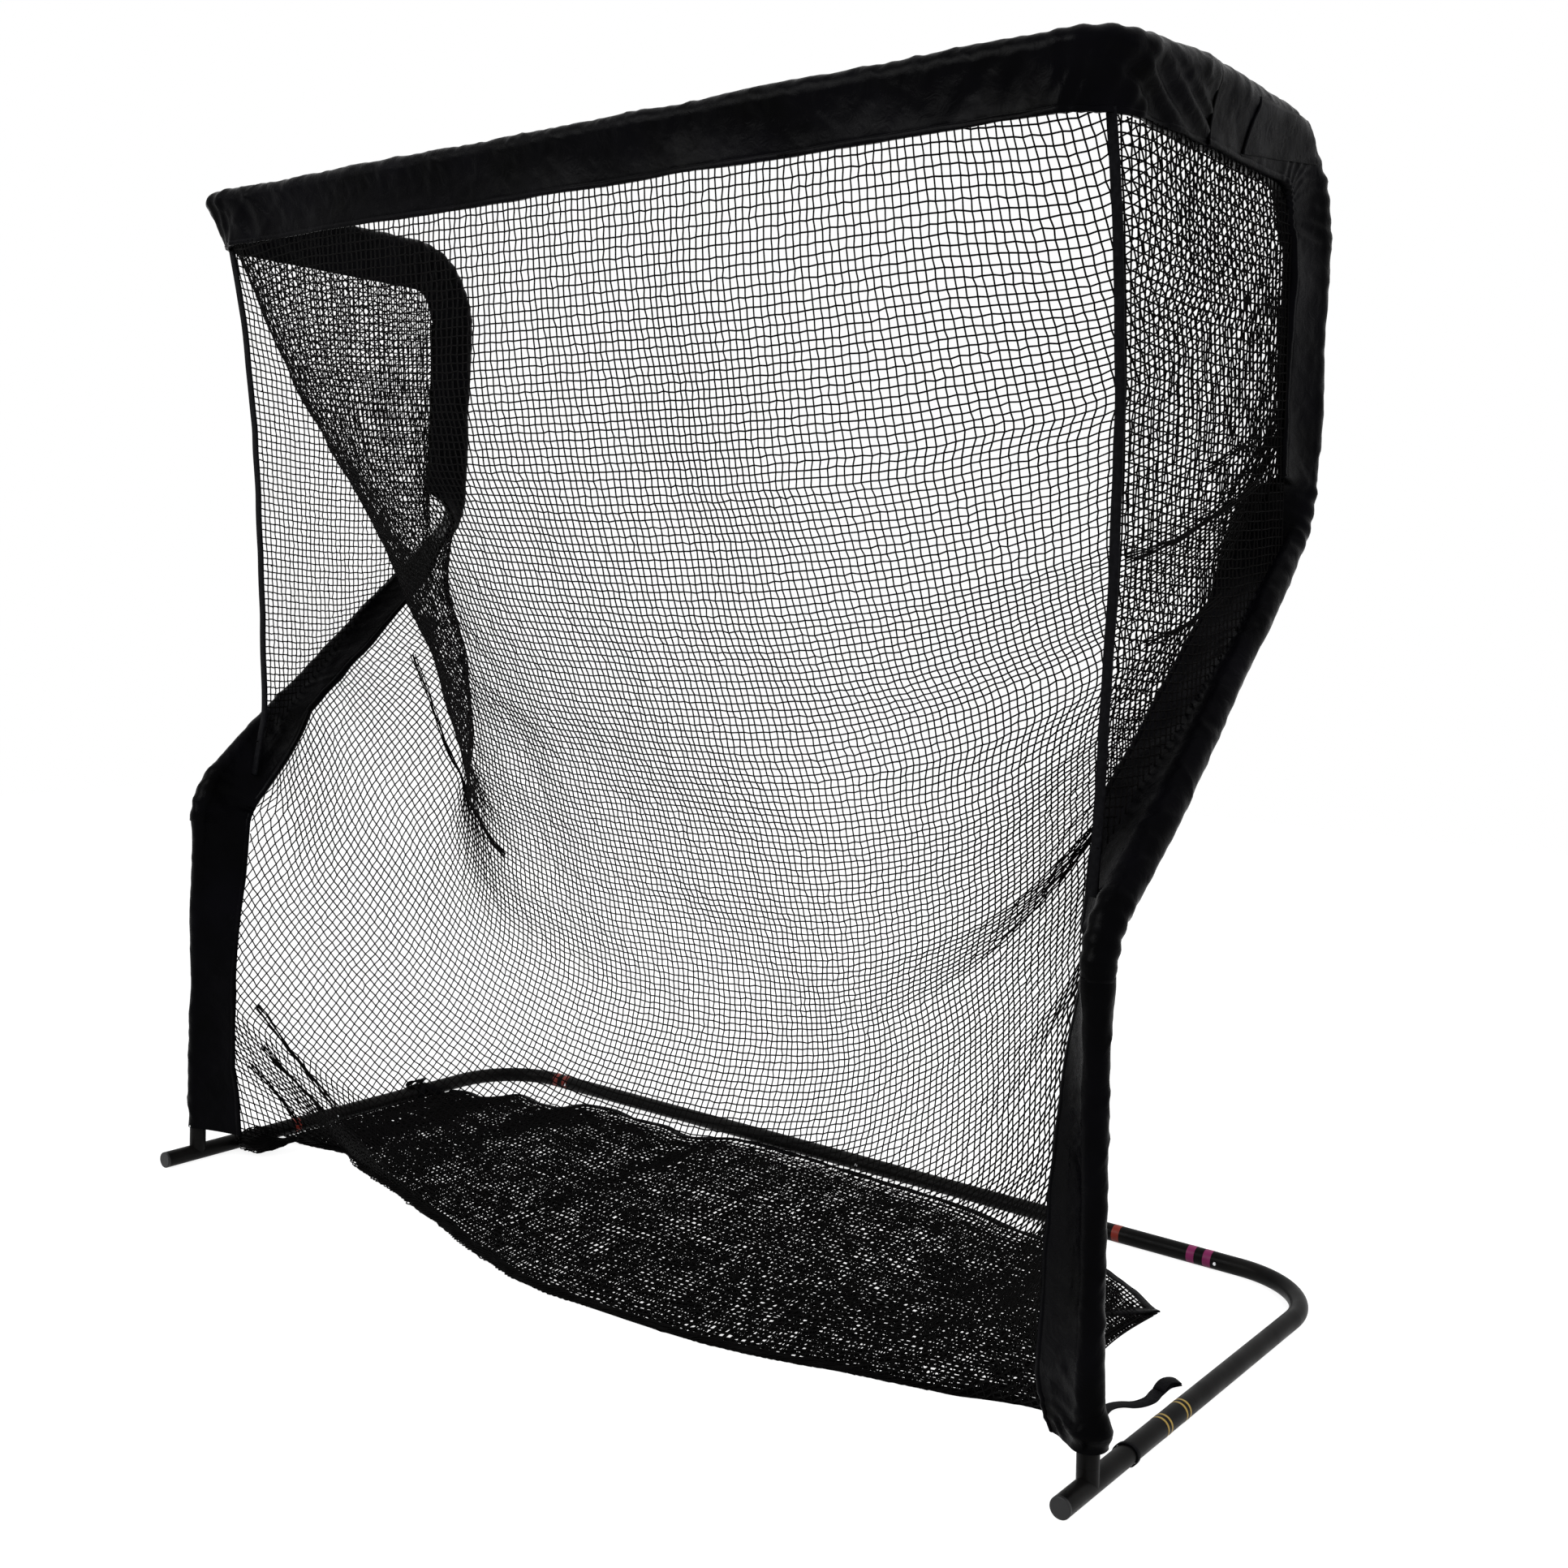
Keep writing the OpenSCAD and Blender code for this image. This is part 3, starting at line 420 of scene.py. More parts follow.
def wrinkled(along, across, flap, far, bend, seed, bunch=None):
    # Slack bulges, slanting creases and small crinkles push the cloth out. Both walls of the flap sway
    # together, the more the nearer the hem, and bends gather it in narrow pleats.
    w = wrinkles
    distance = np.broadcast_to(far[:, None], along.shape)
    girth = np.concatenate([np.zeros((len(far), 1)),
                            np.cumsum(np.hypot(np.diff(along, axis=1), np.diff(across, axis=1)), axis=1)], 1)
    outward = unit(np.stack([np.gradient(across, axis=1), -np.gradient(along, axis=1)], -1))
    middle = np.stack([along.mean(1), across.mean(1)], -1)[:, None]
    outward *= np.sign(((np.stack([along, across], -1) - middle) * outward).sum(-1).mean())
    hang = clipped(along / flap[:, None])
    slack = softNoise(distance / w["slackLength"], girth / w["slackAround"], seed) * w["slackDepth"]
    creases = 0
    for turn, (skew, drift) in enumerate(((0.9, -0.3), (-1.1, 0.3)), 1):
        creases = creases + creaseNoise((distance + skew * girth) / w["creaseWidth"] * 0.5,
                                        (girth + drift * distance) / w["creaseLength"], seed + turn)
    patches = 0.35 + 0.65 * clipped(softNoise(distance / 0.22, girth / 0.12, seed + 3) + 0.4)
    small = softNoise(distance / w["crinkleSize"], girth / w["crinkleSize"], seed + 4) * w["crinkleDepth"]
    gathers = np.sin(2 * pi * (distance + 0.25 * girth) / w["pleatLength"]
                     + 3 * softNoise(distance / 0.09, girth / 0.07, seed + 5))
    gathers = bend[:, None] * w["pleatDepth"] * gathers
    push = slack + creases * patches * w["creaseDepth"] * 0.5 + small + gathers * (0.4 + 0.6 * hang)
    bunched = 0 if bunch is None else bunch[:, None]
    if bunch is not None:
        # gathered cloth: uneven rolls round the post, fullest a little above the lower edge
        uneven = softNoise(distance / 0.05, girth / 0.05, seed + 7)
        rolls = np.sin(2 * pi * distance / w["pleatLength"] + 5 * uneven)
        bulk = bunch * np.clip((far[-1] - far) / 0.02, 0.15, 1)
        push = push + bulk[:, None] * (w["bunchDepth"] + w["rollDepth"] * rolls)
    # at both ends the cloth is plain, so that two sleeves meet in one face
    plain = clipped(np.minimum(far, far[-1] - far) / w["plainEnd"])[:, None]
    push = np.maximum(push, -w["inwards"]) * (0.35 + 0.65 * clipped(1.12 - hang)) * np.maximum(plain, bunched)
    sway = plain * hang**1.3 * w["flapSway"] * (softNoise(distance / 0.17, 0 * girth, seed + 6)
                                                + 0.5 * softNoise(distance / 0.06, hang * 1.5, seed + 8))
    return along + outward[..., 0] * push, across + outward[..., 1] * push + sway


def addSleeve(name, node, stations, flap, radius, bend, seed, side=None, bunch=None, cornerFolds=None,
              patched=False):
    # A profile carried along a path: along the flap's direction and along travel cross flap
    centres, travel, ways = stations
    far = travelled(centres)
    along, across = sleeveProfile(flap, radius)
    along, across = wrinkled(along, across, flap, far, bend, seed, bunch)
    if cornerFolds is not None:
        hang = along / flap[:, None]
        across = across + cornerFolds(far[:, None], np.clip(hang, -0.2, 1), clipped(-across / radius.max()))
    sideways = np.cross(travel, ways)
    points = centres[:, None] + along[..., None] * ways[:, None] + across[..., None] * sideways[:, None]
    if side is not None:
        points = leanToStand(points, side)
    piece = addGrid(name, points, nylon, ring=True, thickness=sleeveCut["thickness"])
    attach(piece, node)
    [sewnPatch(piece)] if patched else []


def sidePath(step):  # the tube's line in the leaning plane, from the front of the crown to the foot
    back = stand["setback"]
    corners = [(0.0, topUp), (back, topUp), (back, shoulderUp), (0.0, kneeUp), (0.0, 0.0)]
    return roundedPath(corners, [stand["crownRadius"], stand["shoulderRadius"], stand["kneeRadius"]], step)


def sideStations(line):
    # Heading of travel in the plane, and the flap's way: it turns inwards by flapTurn from the inner side
    heading = unit(np.gradient(line, axis=0))
    turn = flapTurn(line[:, 1])
    ways = xyz(-np.sin(turn), np.cos(turn) * heading[:, 1], -np.cos(turn) * heading[:, 0])
    turning, run = (np.linalg.norm(np.gradient(part, axis=0), axis=1) for part in (heading, line))
    return xyz(0, *line.T), xyz(0, *heading.T), ways, clipped(turning / run * 0.16)


def sewnPatch(sleeve):
    # A bare oblong patch on a side sleeve's outer face under the crown: it lies on the cloth's high points
    patch = {"corners": [[(0.422, 2.180), (0.712, 2.219)], [(0.452, 2.278), (0.674, 2.288)]],
             "over": 0.0006, "reach": 0.006, "thickness": 0.0010, "cells": (12, 36), "skinFrom": 2.1}
    skin = np.empty(len(sleeve.data.vertices) * 3, np.float32)
    sleeve.data.vertices.foreach_get("co", skin)
    skin = skin.reshape(-1, 3)
    skin = skin[skin[:, 2] > patch["skinFrom"]]
    up, along = (np.linspace(0, 1, n + 1) for n in patch["cells"])
    low, high = (row[0] + (row[1] - row[0]) * along[:, None] for row in np.array(patch["corners"]))
    spots = low + (high - low) * up[:, None, None] + [postY, 0]
    off = np.linalg.norm(spots[:, :, None] - skin[None, None, :, 1:], axis=-1)
    out = np.where(off < patch["reach"], skin[:, 0], 0).max(-1)
    for smoothing in range(4):
        out = (out + np.roll(out, 1, 1) + np.roll(out, -1, 1)) / 3
        out[:, 0], out[:, -1] = out[:, 1], out[:, -2]
    points = np.concatenate([out[..., None] + patch["over"], spots], -1)
    return attach(addGrid("sewnPatch", points, nylon, thickness=patch["thickness"]))


postSleeve = {
    "lap": 0.012, "cuff": 0.0028, "cuffHigh": 0.05, "bunchHigh": 0.085, "bunchWide": 0.006,
    "bunchNarrows": 0.36, "spreadHigh": 0.17, "spread": 0.16, "fuller": 0.003, "fullerFrom": 0.6,
}


def dressSide(side):
    name, step, ease = sideNames[side], sleeveCut["step"], sleeveCut["ease"]
    line = sidePath(step)
    kneeBelow = kneeUp - kneeCut
    onPost = (line[:, 0] < 1e-6) & (line[:, 1] < kneeBelow)
    underTop = (line[:, 1] > topUp - 1e-6) & (line[:, 0] < flaps["topEnd"] + 0.0008)
    upper = np.concatenate([[[flaps["topEnd"], topUp]], line[~onPost & ~underTop]])
    centres, travel, ways, bend = sideStations(upper)
    full = np.interp(upper[:, 1], fullness["up"], fullness[name])
    room = sleeveCut["room"] + 0.0012 * clipped(bend * 3) + full
    centres, flap = centres - ease * ways * full[:, None], flapWidth(upper[:, 1]) + ease * full
    addSleeve(f"{name}SideSleeve", f"{name}_side_sleeve", (centres, travel, ways), flap,
              sleeveR + room, bend, 11 + side, side, patched=side > 0)
    # the post's sleeve laps over the other one's end; the right one is bunched up over the foot
    p, lowest = postSleeve, flaps["lowEnd"]
    upEnd = kneeBelow + p["lap"]
    lower = line[onPost & (line[:, 1] > lowest) & (line[:, 1] < upEnd - 0.008)]
    lower = np.concatenate([[[0, upEnd], [0, upEnd - 0.003]], lower, [[0, lowest]]])
    centres, travel, ways, bend = sideStations(lower)
    up = lower[:, 1]
    bunch = clipped(1 - (up - lowest) / p["bunchHigh"]) ** 1.3 * (side > 0)
    spread = clipped(1 - (up - lowest) / p["spreadHigh"]) * (side < 0)
    cuff = p["cuff"] * clipped(1 - (upEnd - up) / p["cuffHigh"]) ** 0.5
    cuff = cuff + p["fuller"] * clipped((up - p["fullerFrom"]) / 0.2) * (side > 0)
    flap = flapWidth(up) * (1 - p["bunchNarrows"] * bunch + p["spread"] * spread)
    addSleeve(f"{name}PostSleeve", f"{name}_post_sleeve", (centres, travel, ways), flap,
              sleeveR + sleeveCut["room"] + cuff + p["bunchWide"] * bunch, 0 * bend, 31 + side, side,
              bunch if side > 0 else None)


topFolds = {"depth": 0.0165, "count": 3, "reach": 0.30, "slant": 0.11, "points": (0.034, 0.016),
            "pointReach": 0.055, "wave": 0.36, "fullFor": 0.26}


def dressTop():
    folds, end, step, ease = topFolds, flaps["topEnd"] + 0.001, sleeveCut["step"], sleeveCut["ease"]
    corners = [(-topX, end), (-topX, 0), (topX, 0), (topX, end)]
    plan = roundedPath(corners, [stand["elbowRadius"]] * 2, step)
    heading = unit(np.gradient(plan, axis=0))
    centres, travel = xyz(plan[:, 0], postY + plan[:, 1], topZ), xyz(*heading.T, 0)
    ways = np.broadcast_to([0.0, 0.0, -1.0], centres.shape)
    bend = clipped(np.linalg.norm(np.gradient(heading, axis=0), axis=1) / step * 0.1)
    run = travelled(centres)
    length = run[-1]
    cornerAt = end - stand["elbowRadius"] + stand["elbowRadius"] * pi / 4
    nearEnd = eased(clipped(1 - np.minimum(run, length - run) / folds["fullFor"]))
    full = nearEnd * np.where(run < length / 2, fullness["left"][-1], fullness["right"][-1])
    centres = centres - ease * ways * full[:, None]
    flap = flaps["top"] + (flaps["rear"] - flaps["top"]) * nearEnd + ease * full

    def fans(far, hang, outside):
        # Folds spread from each corner's tube towards the hem, where they fade. The cloth is sewn to a
        # sharper corner than the tube's, so it stands out there.
        total, point, down = 0, 0, clipped(hang)
        for middle, high in zip((cornerAt, length - cornerAt), folds["points"]):
            off = (far - middle) / (0.5 + 0.6 * down) - folds["slant"] * down * np.sign(middle - length / 2)
            uneven = softNoise(off / 0.1, down * 1.5, 17)
            wave = np.sin(2 * pi * off * folds["count"] / folds["wave"] + 1.3 + 1.6 * uneven)
            total = total + np.exp(-(off / folds["reach"]) ** 2) * np.sign(wave) * np.abs(wave) ** 0.7
            point = point + high * np.exp(-((far - middle) / folds["pointReach"]) ** 2)
        shoulder = clipped(1.1 - 1.1 * down) * (hang > -0.25)
        return total * folds["depth"] * down * (1.1 - down) - point * outside**0.5 * shoulder

    radius = sleeveR + sleeveCut["room"] + 0.001 * bend + full
    addSleeve("topSleeve", "top_sleeve", (centres, travel, ways), flap, radius, bend, 5,
              cornerFolds=fans)


dressTop()
for side in sideNames:
    dressSide(side)
print("stage 3: sleeves")

netting = {"pitch": 0.0163, "twineWidth": 0.0029, "knot": 0.0025, "jitter": 0.0009, "knotClear": 0.004,
           "overFloor": 0.005}
pitch = netting["pitch"]
twineR = pi * netting["twineWidth"] / (3 * sqrt(3))  # a three-sided cord as wide to the eye as a round one


def twines(points, normals, kept=None):
    # Three-sided tubes along lines of points: offsets in thirds of a turn round each line's tangent.
    # Only stretches between two kept points are made, and each stretch is closed at both ends.
    lines, beads = points.shape[:2]
    kept = np.ones((lines, beads), bool) if kept is None else kept
    tangent = unit(np.gradient(points, axis=1))
    sideways = unit(np.cross(tangent, normals))
    upright = np.cross(sideways, tangent)
    turn = pi / 2 + 2 * pi / 3 * np.arange(3)
    ring = (points[:, :, None] + twineR * (np.cos(turn)[:, None] * sideways[:, :, None]
                                           + np.sin(turn)[:, None] * upright[:, :, None]))
    stretch = kept[:, :-1] & kept[:, 1:]
    n, b = (place[:, None] for place in np.nonzero(stretch))
    s = np.arange(3)[None]
    base, following = n * beads * 3 + b * 3, (s + 1) % 3
    quads = np.stack([base + s, base + following, base + 3 + following, base + 3 + s], -1).reshape(-1, 4)
    onward, back = np.pad(stretch, ((0, 0), (0, 1))), np.pad(stretch, ((0, 0), (1, 0)))
    first, last = (np.flatnonzero(ends)[:, None] * 3 for ends in (onward & ~back, back & ~onward))
    caps = np.concatenate([first + [0, 2, 1], last + [0, 1, 2]])
    if volume(ring, quads) < 0:
        quads, caps = quads[:, ::-1], caps[:, ::-1]
    s, b = s + 0 * b, b + 0 * s
    around = np.stack([s, s + 1, s + 1, s], -1).reshape(-1, 4) * netting["twineWidth"]
    along = np.stack([b, b, b + 1, b + 1], -1).reshape(-1, 4) * pitch
    used, corners = np.unique(np.concatenate([quads.reshape(-1), caps.reshape(-1)]), return_inverse=True)
    quads, caps = corners[: quads.size].reshape(-1, 4), corners[quads.size:].reshape(-1, 3)
    return ring.reshape(-1, 3)[used], quads, caps, np.stack([around, along], -1)


def addTwines(name, bundles):  # each bundle is points, normals and, if some are cut off, those kept
    made, base = [], 0
    for bundle in bundles:
        points, quads, caps, uv = twines(*bundle)
        made.append((points, quads + base, caps + base, uv))
        base += len(points)
    points, quads, caps, uv = (np.concatenate(part) for part in zip(*made))
    return addMesh(name, points, [quads, caps], twineLook, [uv, np.zeros((len(caps), 3, 2))])


def addKnots(name, points, acrossWay, downWay, normals):
    # Eight-sided knots: one point each way along both threads and both sides of the net
    reach = np.stack([acrossWay, downWay, 0.8 * normals], 1) * netting["knot"]
    corners = np.concatenate([points[:, None] + reach, points[:, None] - reach], 1)
    faces = np.array([[0, 1, 2], [1, 3, 2], [3, 4, 2], [4, 0, 2], [1, 0, 5], [3, 1, 5], [4, 3, 5], [0, 4, 5]])
    triangles = (np.arange(len(points))[:, None, None] * 6 + faces).reshape(-1, 3)
    if (np.cross(acrossWay, downWay) * normals).sum(-1).mean() < 0:
        triangles = triangles[:, ::-1]
    uv = np.zeros((len(triangles), 3, 2)) + np.array([[0, 0], [0.002, 0], [0, 0.002]])
    return addMesh(name, corners, [triangles], twineLook, [uv])


def surfaceNormals(points):
    return unit(np.cross(np.gradient(points, axis=1), np.gradient(points, axis=0)))


def threadsOf(points):  # a grid's columns and rows, as two bundles
    normals = surfaceNormals(points)
    return [(points.transpose(1, 0, 2), normals.transpose(1, 0, 2)), (points, normals)]


def jittered(points, seed, amount=1.0):
    shift = np.random.default_rng(seed).normal(0, netting["jitter"] * amount, points.shape)
    shift[0] = shift[-1] = 0
    shift[:, 0] = shift[:, -1] = 0
    return points + shift


def cutThreads(points, room):
    # Where room is below 0 the net is cut off. The first point past a cut moves back along its thread
    # to the cut: inner + (outer - inner) * room inside / (room inside - room outside)
    keep, kept, moved = room >= 0, room >= 0, points.copy()
    for inner, outer in ((np.s_[:, :-1], np.s_[:, 1:]), (np.s_[:, 1:], np.s_[:, :-1])):
        leaving = keep[inner] & ~keep[outer]
        share = room[inner] / np.where(leaving, room[inner] - room[outer], 1)
        spot = points[inner] + (points[outer] - points[inner]) * share[..., None]
        moved[outer][leaving] = spot[leaving]
        kept[outer] |= leaving
    return moved, kept


def addNetting(name, points, node, flat, room=None, skip=0, extras=()):
    # The grid's rows and columns become threads, with a knot at each crossing
    room = np.ones(points.shape[:2]) if room is None else room
    normals = surfaceNormals(points)
    rows, rowsKept = cutThreads(points, room)
    columns, columnsKept = cutThreads(points.transpose(1, 0, 2), room.T)
    upright = [part[skip:] for part in (columns, normals.transpose(1, 0, 2), columnsKept)]
    threads = addTwines(f"{name}Threads", [upright, (rows, normals, rowsKept)])
    inner = np.zeros(room.shape, bool)
    inner[1:-1, 1:-1] = room[1:-1, 1:-1] > netting["knotClear"]
    knots = addKnots(f"{name}Knots", points[inner], unit(np.gradient(points, axis=1))[inner],
                     unit(np.gradient(points, axis=0))[inner], normals[inner])
    finishNet(threads, knots, node, flat)


def finishNet(threads, knots, node, flat):
    for piece in (threads, knots):
        attach(piece, node)
    flat = tuple(round(float(size), 3) for size in flat)


def addStrap(name, line, ways, width, thickness, node=None, material=webbing):
    # A flat oblong of eight points, width along the ways and thickness across them, carried along the line
    travel = unit(np.gradient(line, axis=0))
    over = unit(np.cross(travel, ways))
    ways = np.cross(over, travel)
    half = np.array([[-1, -0.5], [-0.95, -1], [0.95, -1], [1, -0.5]])
    outline = np.concatenate([half, -half])
    wide, thick = width / 2 * outline[None, :, :1], thickness / 2 * outline[None, :, 1:]
    points = line[:, None] + wide * ways[:, None] + thick * over[:, None]
    points[..., 2] = np.maximum(points[..., 2], 0.0003)
    return attach(addGrid(name, points, material, ring=True, closed=True), node)


def tilted(line, tilt):  # level and square to the line, then tilted
    level = unit(np.cross(np.gradient(line, axis=0), [0.0, 0, 1]))
    return unit(level + np.array([0, 0, 1.0]) * tilt[:, None])


bundleShape = {"step": 0.006, "leastPoints": 12, "corePoints": 14, "coreSize": 0.86, "lumps": 0.28,
               "bumps": 0.14, "headTaper": 0.05, "tailTaper": 0.12, "windLength": 0.16, "overFloor": 0.0016}


def addBundle(name, line, widths, height, strands, seed):
    # Gathered netting: a lumpy core along the line, and threads that wind round it.
    # Point = line + r (wide cos a across + height sin a upwards), r uneven along and around
    b = bundleShape
    line = evenly(line, max(b["leastPoints"], int(travelled(line)[-1] / b["step"])))
    far = travelled(line)[:, None]
    across = unit(np.cross(np.gradient(line, axis=0), [0.0, 0, 1]))
    taper = np.clip(far / b["headTaper"], 0.25, 1) * np.clip((far[-1] - far) / b["tailTaper"], 0.2, 1)
    wide = np.interp(far, np.linspace(0, far[-1, 0], len(widths)), widths)[..., None]

    def around(angle, size):
        uneven = (1 + b["lumps"] * softNoise(far / 0.035, angle * 0.9, seed)
                  + b["bumps"] * softNoise(far / 0.012, angle * 2, seed + 1))
        offset = (np.cos(angle)[..., None] * wide / 2 * across[:, None]
                  + np.sin(angle)[..., None] * np.array([0, 0, height / 2]))
        points = line[:, None] + offset * (uneven * taper * size)[..., None]
        points[..., 2] = np.maximum(points[..., 2], b["overFloor"])
        return points

    angle = np.linspace(0, 2 * pi, b["corePoints"], endpoint=False) + 0 * far
    core = addGrid(f"{name}Core", around(angle, b["coreSize"]), twineLook, ring=True, closed=True)
    turns = (np.linspace(0, 2 * pi, strands, endpoint=False) + far * 2 * pi / b["windLength"]
             + 0.8 * softNoise(far / 0.06, 0 * far, seed + 2))
    threads = around(turns, 1.0).transpose(1, 0, 2)
    wound = addTwines(f"{name}Threads", [(threads, unit(threads - line[None] + [0, 0, 1e-6]))])
    return [attach(core), attach(wound)]


mainNet = {
    "stages": [0, 0.25, 0.50, 0.80, 1.03, 1.30, 1.55, 1.80, 2.05, 2.30, 2.60],  # metres down the net
    "halfWidth": 1.56, "drop": 2.61, "extra": 0.5,
    # six columns at each stage: from the middle, behind the posts, and height
    "across": [
        (0, 0.45, 0.80, 1.10, 1.135, 1.14), (0, 0.45, 0.80, 1.10, 1.135, 1.142),
        (0, 0.45, 0.80, 1.10, 1.13, 1.142), (0, 0.45, 0.78, 1.05, 1.11, 1.13),
        (0, 0.45, 0.77, 1.0, 1.05, 1.075), (0, 0.45, 0.76, 0.93, 0.96, 1.02),
        (0, 0.45, 0.74, 0.88, 0.92, 0.96), (0, 0.45, 0.76, 0.91, 0.96, 1.02),
        (0, 0.45, 0.78, 0.98, 1.05, 1.09), (0, 0.45, 0.80, 0.99, 1.07, 1.12),
        (0, 0.45, 0.70, 0.85, 1.046, 1.10)],
    "behind": [
        (0, 0, 0, 0.03, 0.12, 0.20), (0.032, 0.033, 0.055, 0.175, 0.262, 0.35),
        (0.09, 0.095, 0.15, 0.285, 0.37, 0.47), (0.195, 0.215, 0.28, 0.415, 0.50, 0.575),
        (0.29, 0.31, 0.37, 0.505, 0.56, 0.62),
        (0.41, 0.425, 0.45, 0.545, 0.62, 0.66), (0.50, 0.50, 0.50, 0.56, 0.60, 0.58),
        (0.545, 0.54, 0.50, 0.47, 0.43, 0.33), (0.457, 0.455, 0.42, 0.34, 0.27, 0.17),
        (0.264, 0.26, 0.23, 0.165, 0.10, 0.0), (0.0, 0.042, 0.115, 0.153, 0.206, 0.165)],
    "height": [
        (2.19, 2.19, 2.19, 2.19, 2.25, 2.31), (1.90, 1.903, 1.925, 1.965, 2.03, 2.12),
        (1.655, 1.665, 1.70, 1.80, 1.87, 1.945), (1.374, 1.39, 1.45, 1.56, 1.61, 1.655),
        (1.16, 1.175, 1.24, 1.35, 1.40, 1.45), (0.92, 0.935, 1.01, 1.14, 1.17, 1.25),
        (0.69, 0.705, 0.79, 0.90, 0.96, 1.04), (0.45, 0.465, 0.56, 0.66, 0.72, 0.83),
        (0.22, 0.235, 0.32, 0.43, 0.51, 0.60), (0.075, 0.085, 0.15, 0.24, 0.31, 0.40),
        (0.006, 0.006, 0.006, 0.006, 0.006, 0.025)],
    # the seventh column is on the flaps' inner edge between these metres down, and runs past it elsewhere
    "edgeFrom": 0.50, "edgeTo": 1.93, "edgeShift": 0.38,
    "edgeBefore": [(0, 1.14, 0.33, 2.40), (0.25, 1.145, 0.49, 2.25)],
    "edgeAfter": [(2.05, 1.11, -0.04, 0.78), (2.30, 1.12, -0.21, 0.60), (2.60, 1.14, -0.20, 0.09)],
    "hemLap": 0.006, "swells": [(0.008, 0.34, 0.16, 71), (0.0028, 0.11, 0.07, 72)],  # height, size and seed
    # the threads climb towards both sides: slope gained for each metre from the two middles, by metres down
    "climbDown": [0.8, 1.08, 1.3, 1.63, 1.8, 2.2], "climbRight": [0, 0.14, 0.12, 0.26, 0.44, 0.58],
    "climbLeft": [0, 0, 0.05, 0.12, 0.20, 0.28], "climbFrom": (-0.15, -0.30),
    # and lean sideways on the right: metres moved, by metres down
    "leanDown": [0, 0.3, 0.55, 0.9, 1.17, 1.45, 1.8, 2.2],
    "leanBy": [0, -0.04, -0.07, 0, 0.06, 0, -0.04, -0.04],
    "leftBack": 0.07, "leftBackFrom": 2.1,  # the left part of the lower edge lies this much further back
}


def hemLine():
    # The flaps' inner edge down a side frame, from the crown to the foot of the post
    line = sidePath(0.01)
    line = line[(line[:, 0] > stand["setback"] - stand["crownRadius"] - 0.001) | (line[:, 1] < topUp - 0.01)]
    line = line[line[:, 1] > flaps["lowEnd"]]
    centres, travel, ways, bend = sideStations(line)
    hem = centres + ways * (flapWidth(line[:, 1]) + flaps["seamGap"] + 0.001)[:, None]
    hem[:, 0] -= flaps["netSplit"] * np.maximum(np.cos(flapTurn(line[:, 1])), 0)
    return leanToStand(hem, 1)


def sideEdge(down):
    # The seventh column: [down, x, behind, z] knots before, along and after the hem
    m, hem = mainNet, hemLine()
    reach = travelled(hem) + m["edgeShift"]
    onHem = (reach > m["edgeFrom"]) & (reach < m["edgeTo"])
    before, after = (np.array(m[key]) + [0, 0, postY, 0] for key in ("edgeBefore", "edgeAfter"))
    knots = np.concatenate([before, np.concatenate([reach[onHem, None], hem[onHem]], 1), after])
    return np.stack([np.interp(down, knots[:, 0], knots[:, k]) for k in (1, 2, 3)], -1)


def slid(columns, wide, down):
    # The same surface with its threads moved along it: rows climb by climb, columns shift by leanBy.
    # Returns the moved columns' points and how far down the old net each lies.
    m = mainNet
    rightFrom, leftFrom = m["climbFrom"]
    right, left = (np.interp(down, m["climbDown"], m[key]) for key in ("climbRight", "climbLeft"))
    climb = (right * np.maximum(wide - rightFrom, 0) ** 2 + left * np.maximum(leftFrom - wide, 0) ** 2) / 2
    oldDown = down - climb
    share = eased(clipped((wide - 0.1) / 0.5) * clipped((1.5 - wide) / 0.5))
    oldWide = wide + np.interp(down, m["leanDown"], m["leanBy"]) * share
    row = np.clip(oldDown / pitch, 0, columns.shape[0] - 1.001)
    column = np.clip((oldWide + m["halfWidth"]) / pitch, 0, columns.shape[1] - 1.001)
    return between(columns, row, column), oldDown


def backOnLeft(points, down):
    m = mainNet
    late = clipped((down - m["leftBackFrom"]) / (m["drop"] - m["leftBackFrom"])) ** 2
    share = clipped((-0.1 - points[..., 0]) / 0.35) * late
    return points + share[..., None] * [0, m["leftBack"], 0]


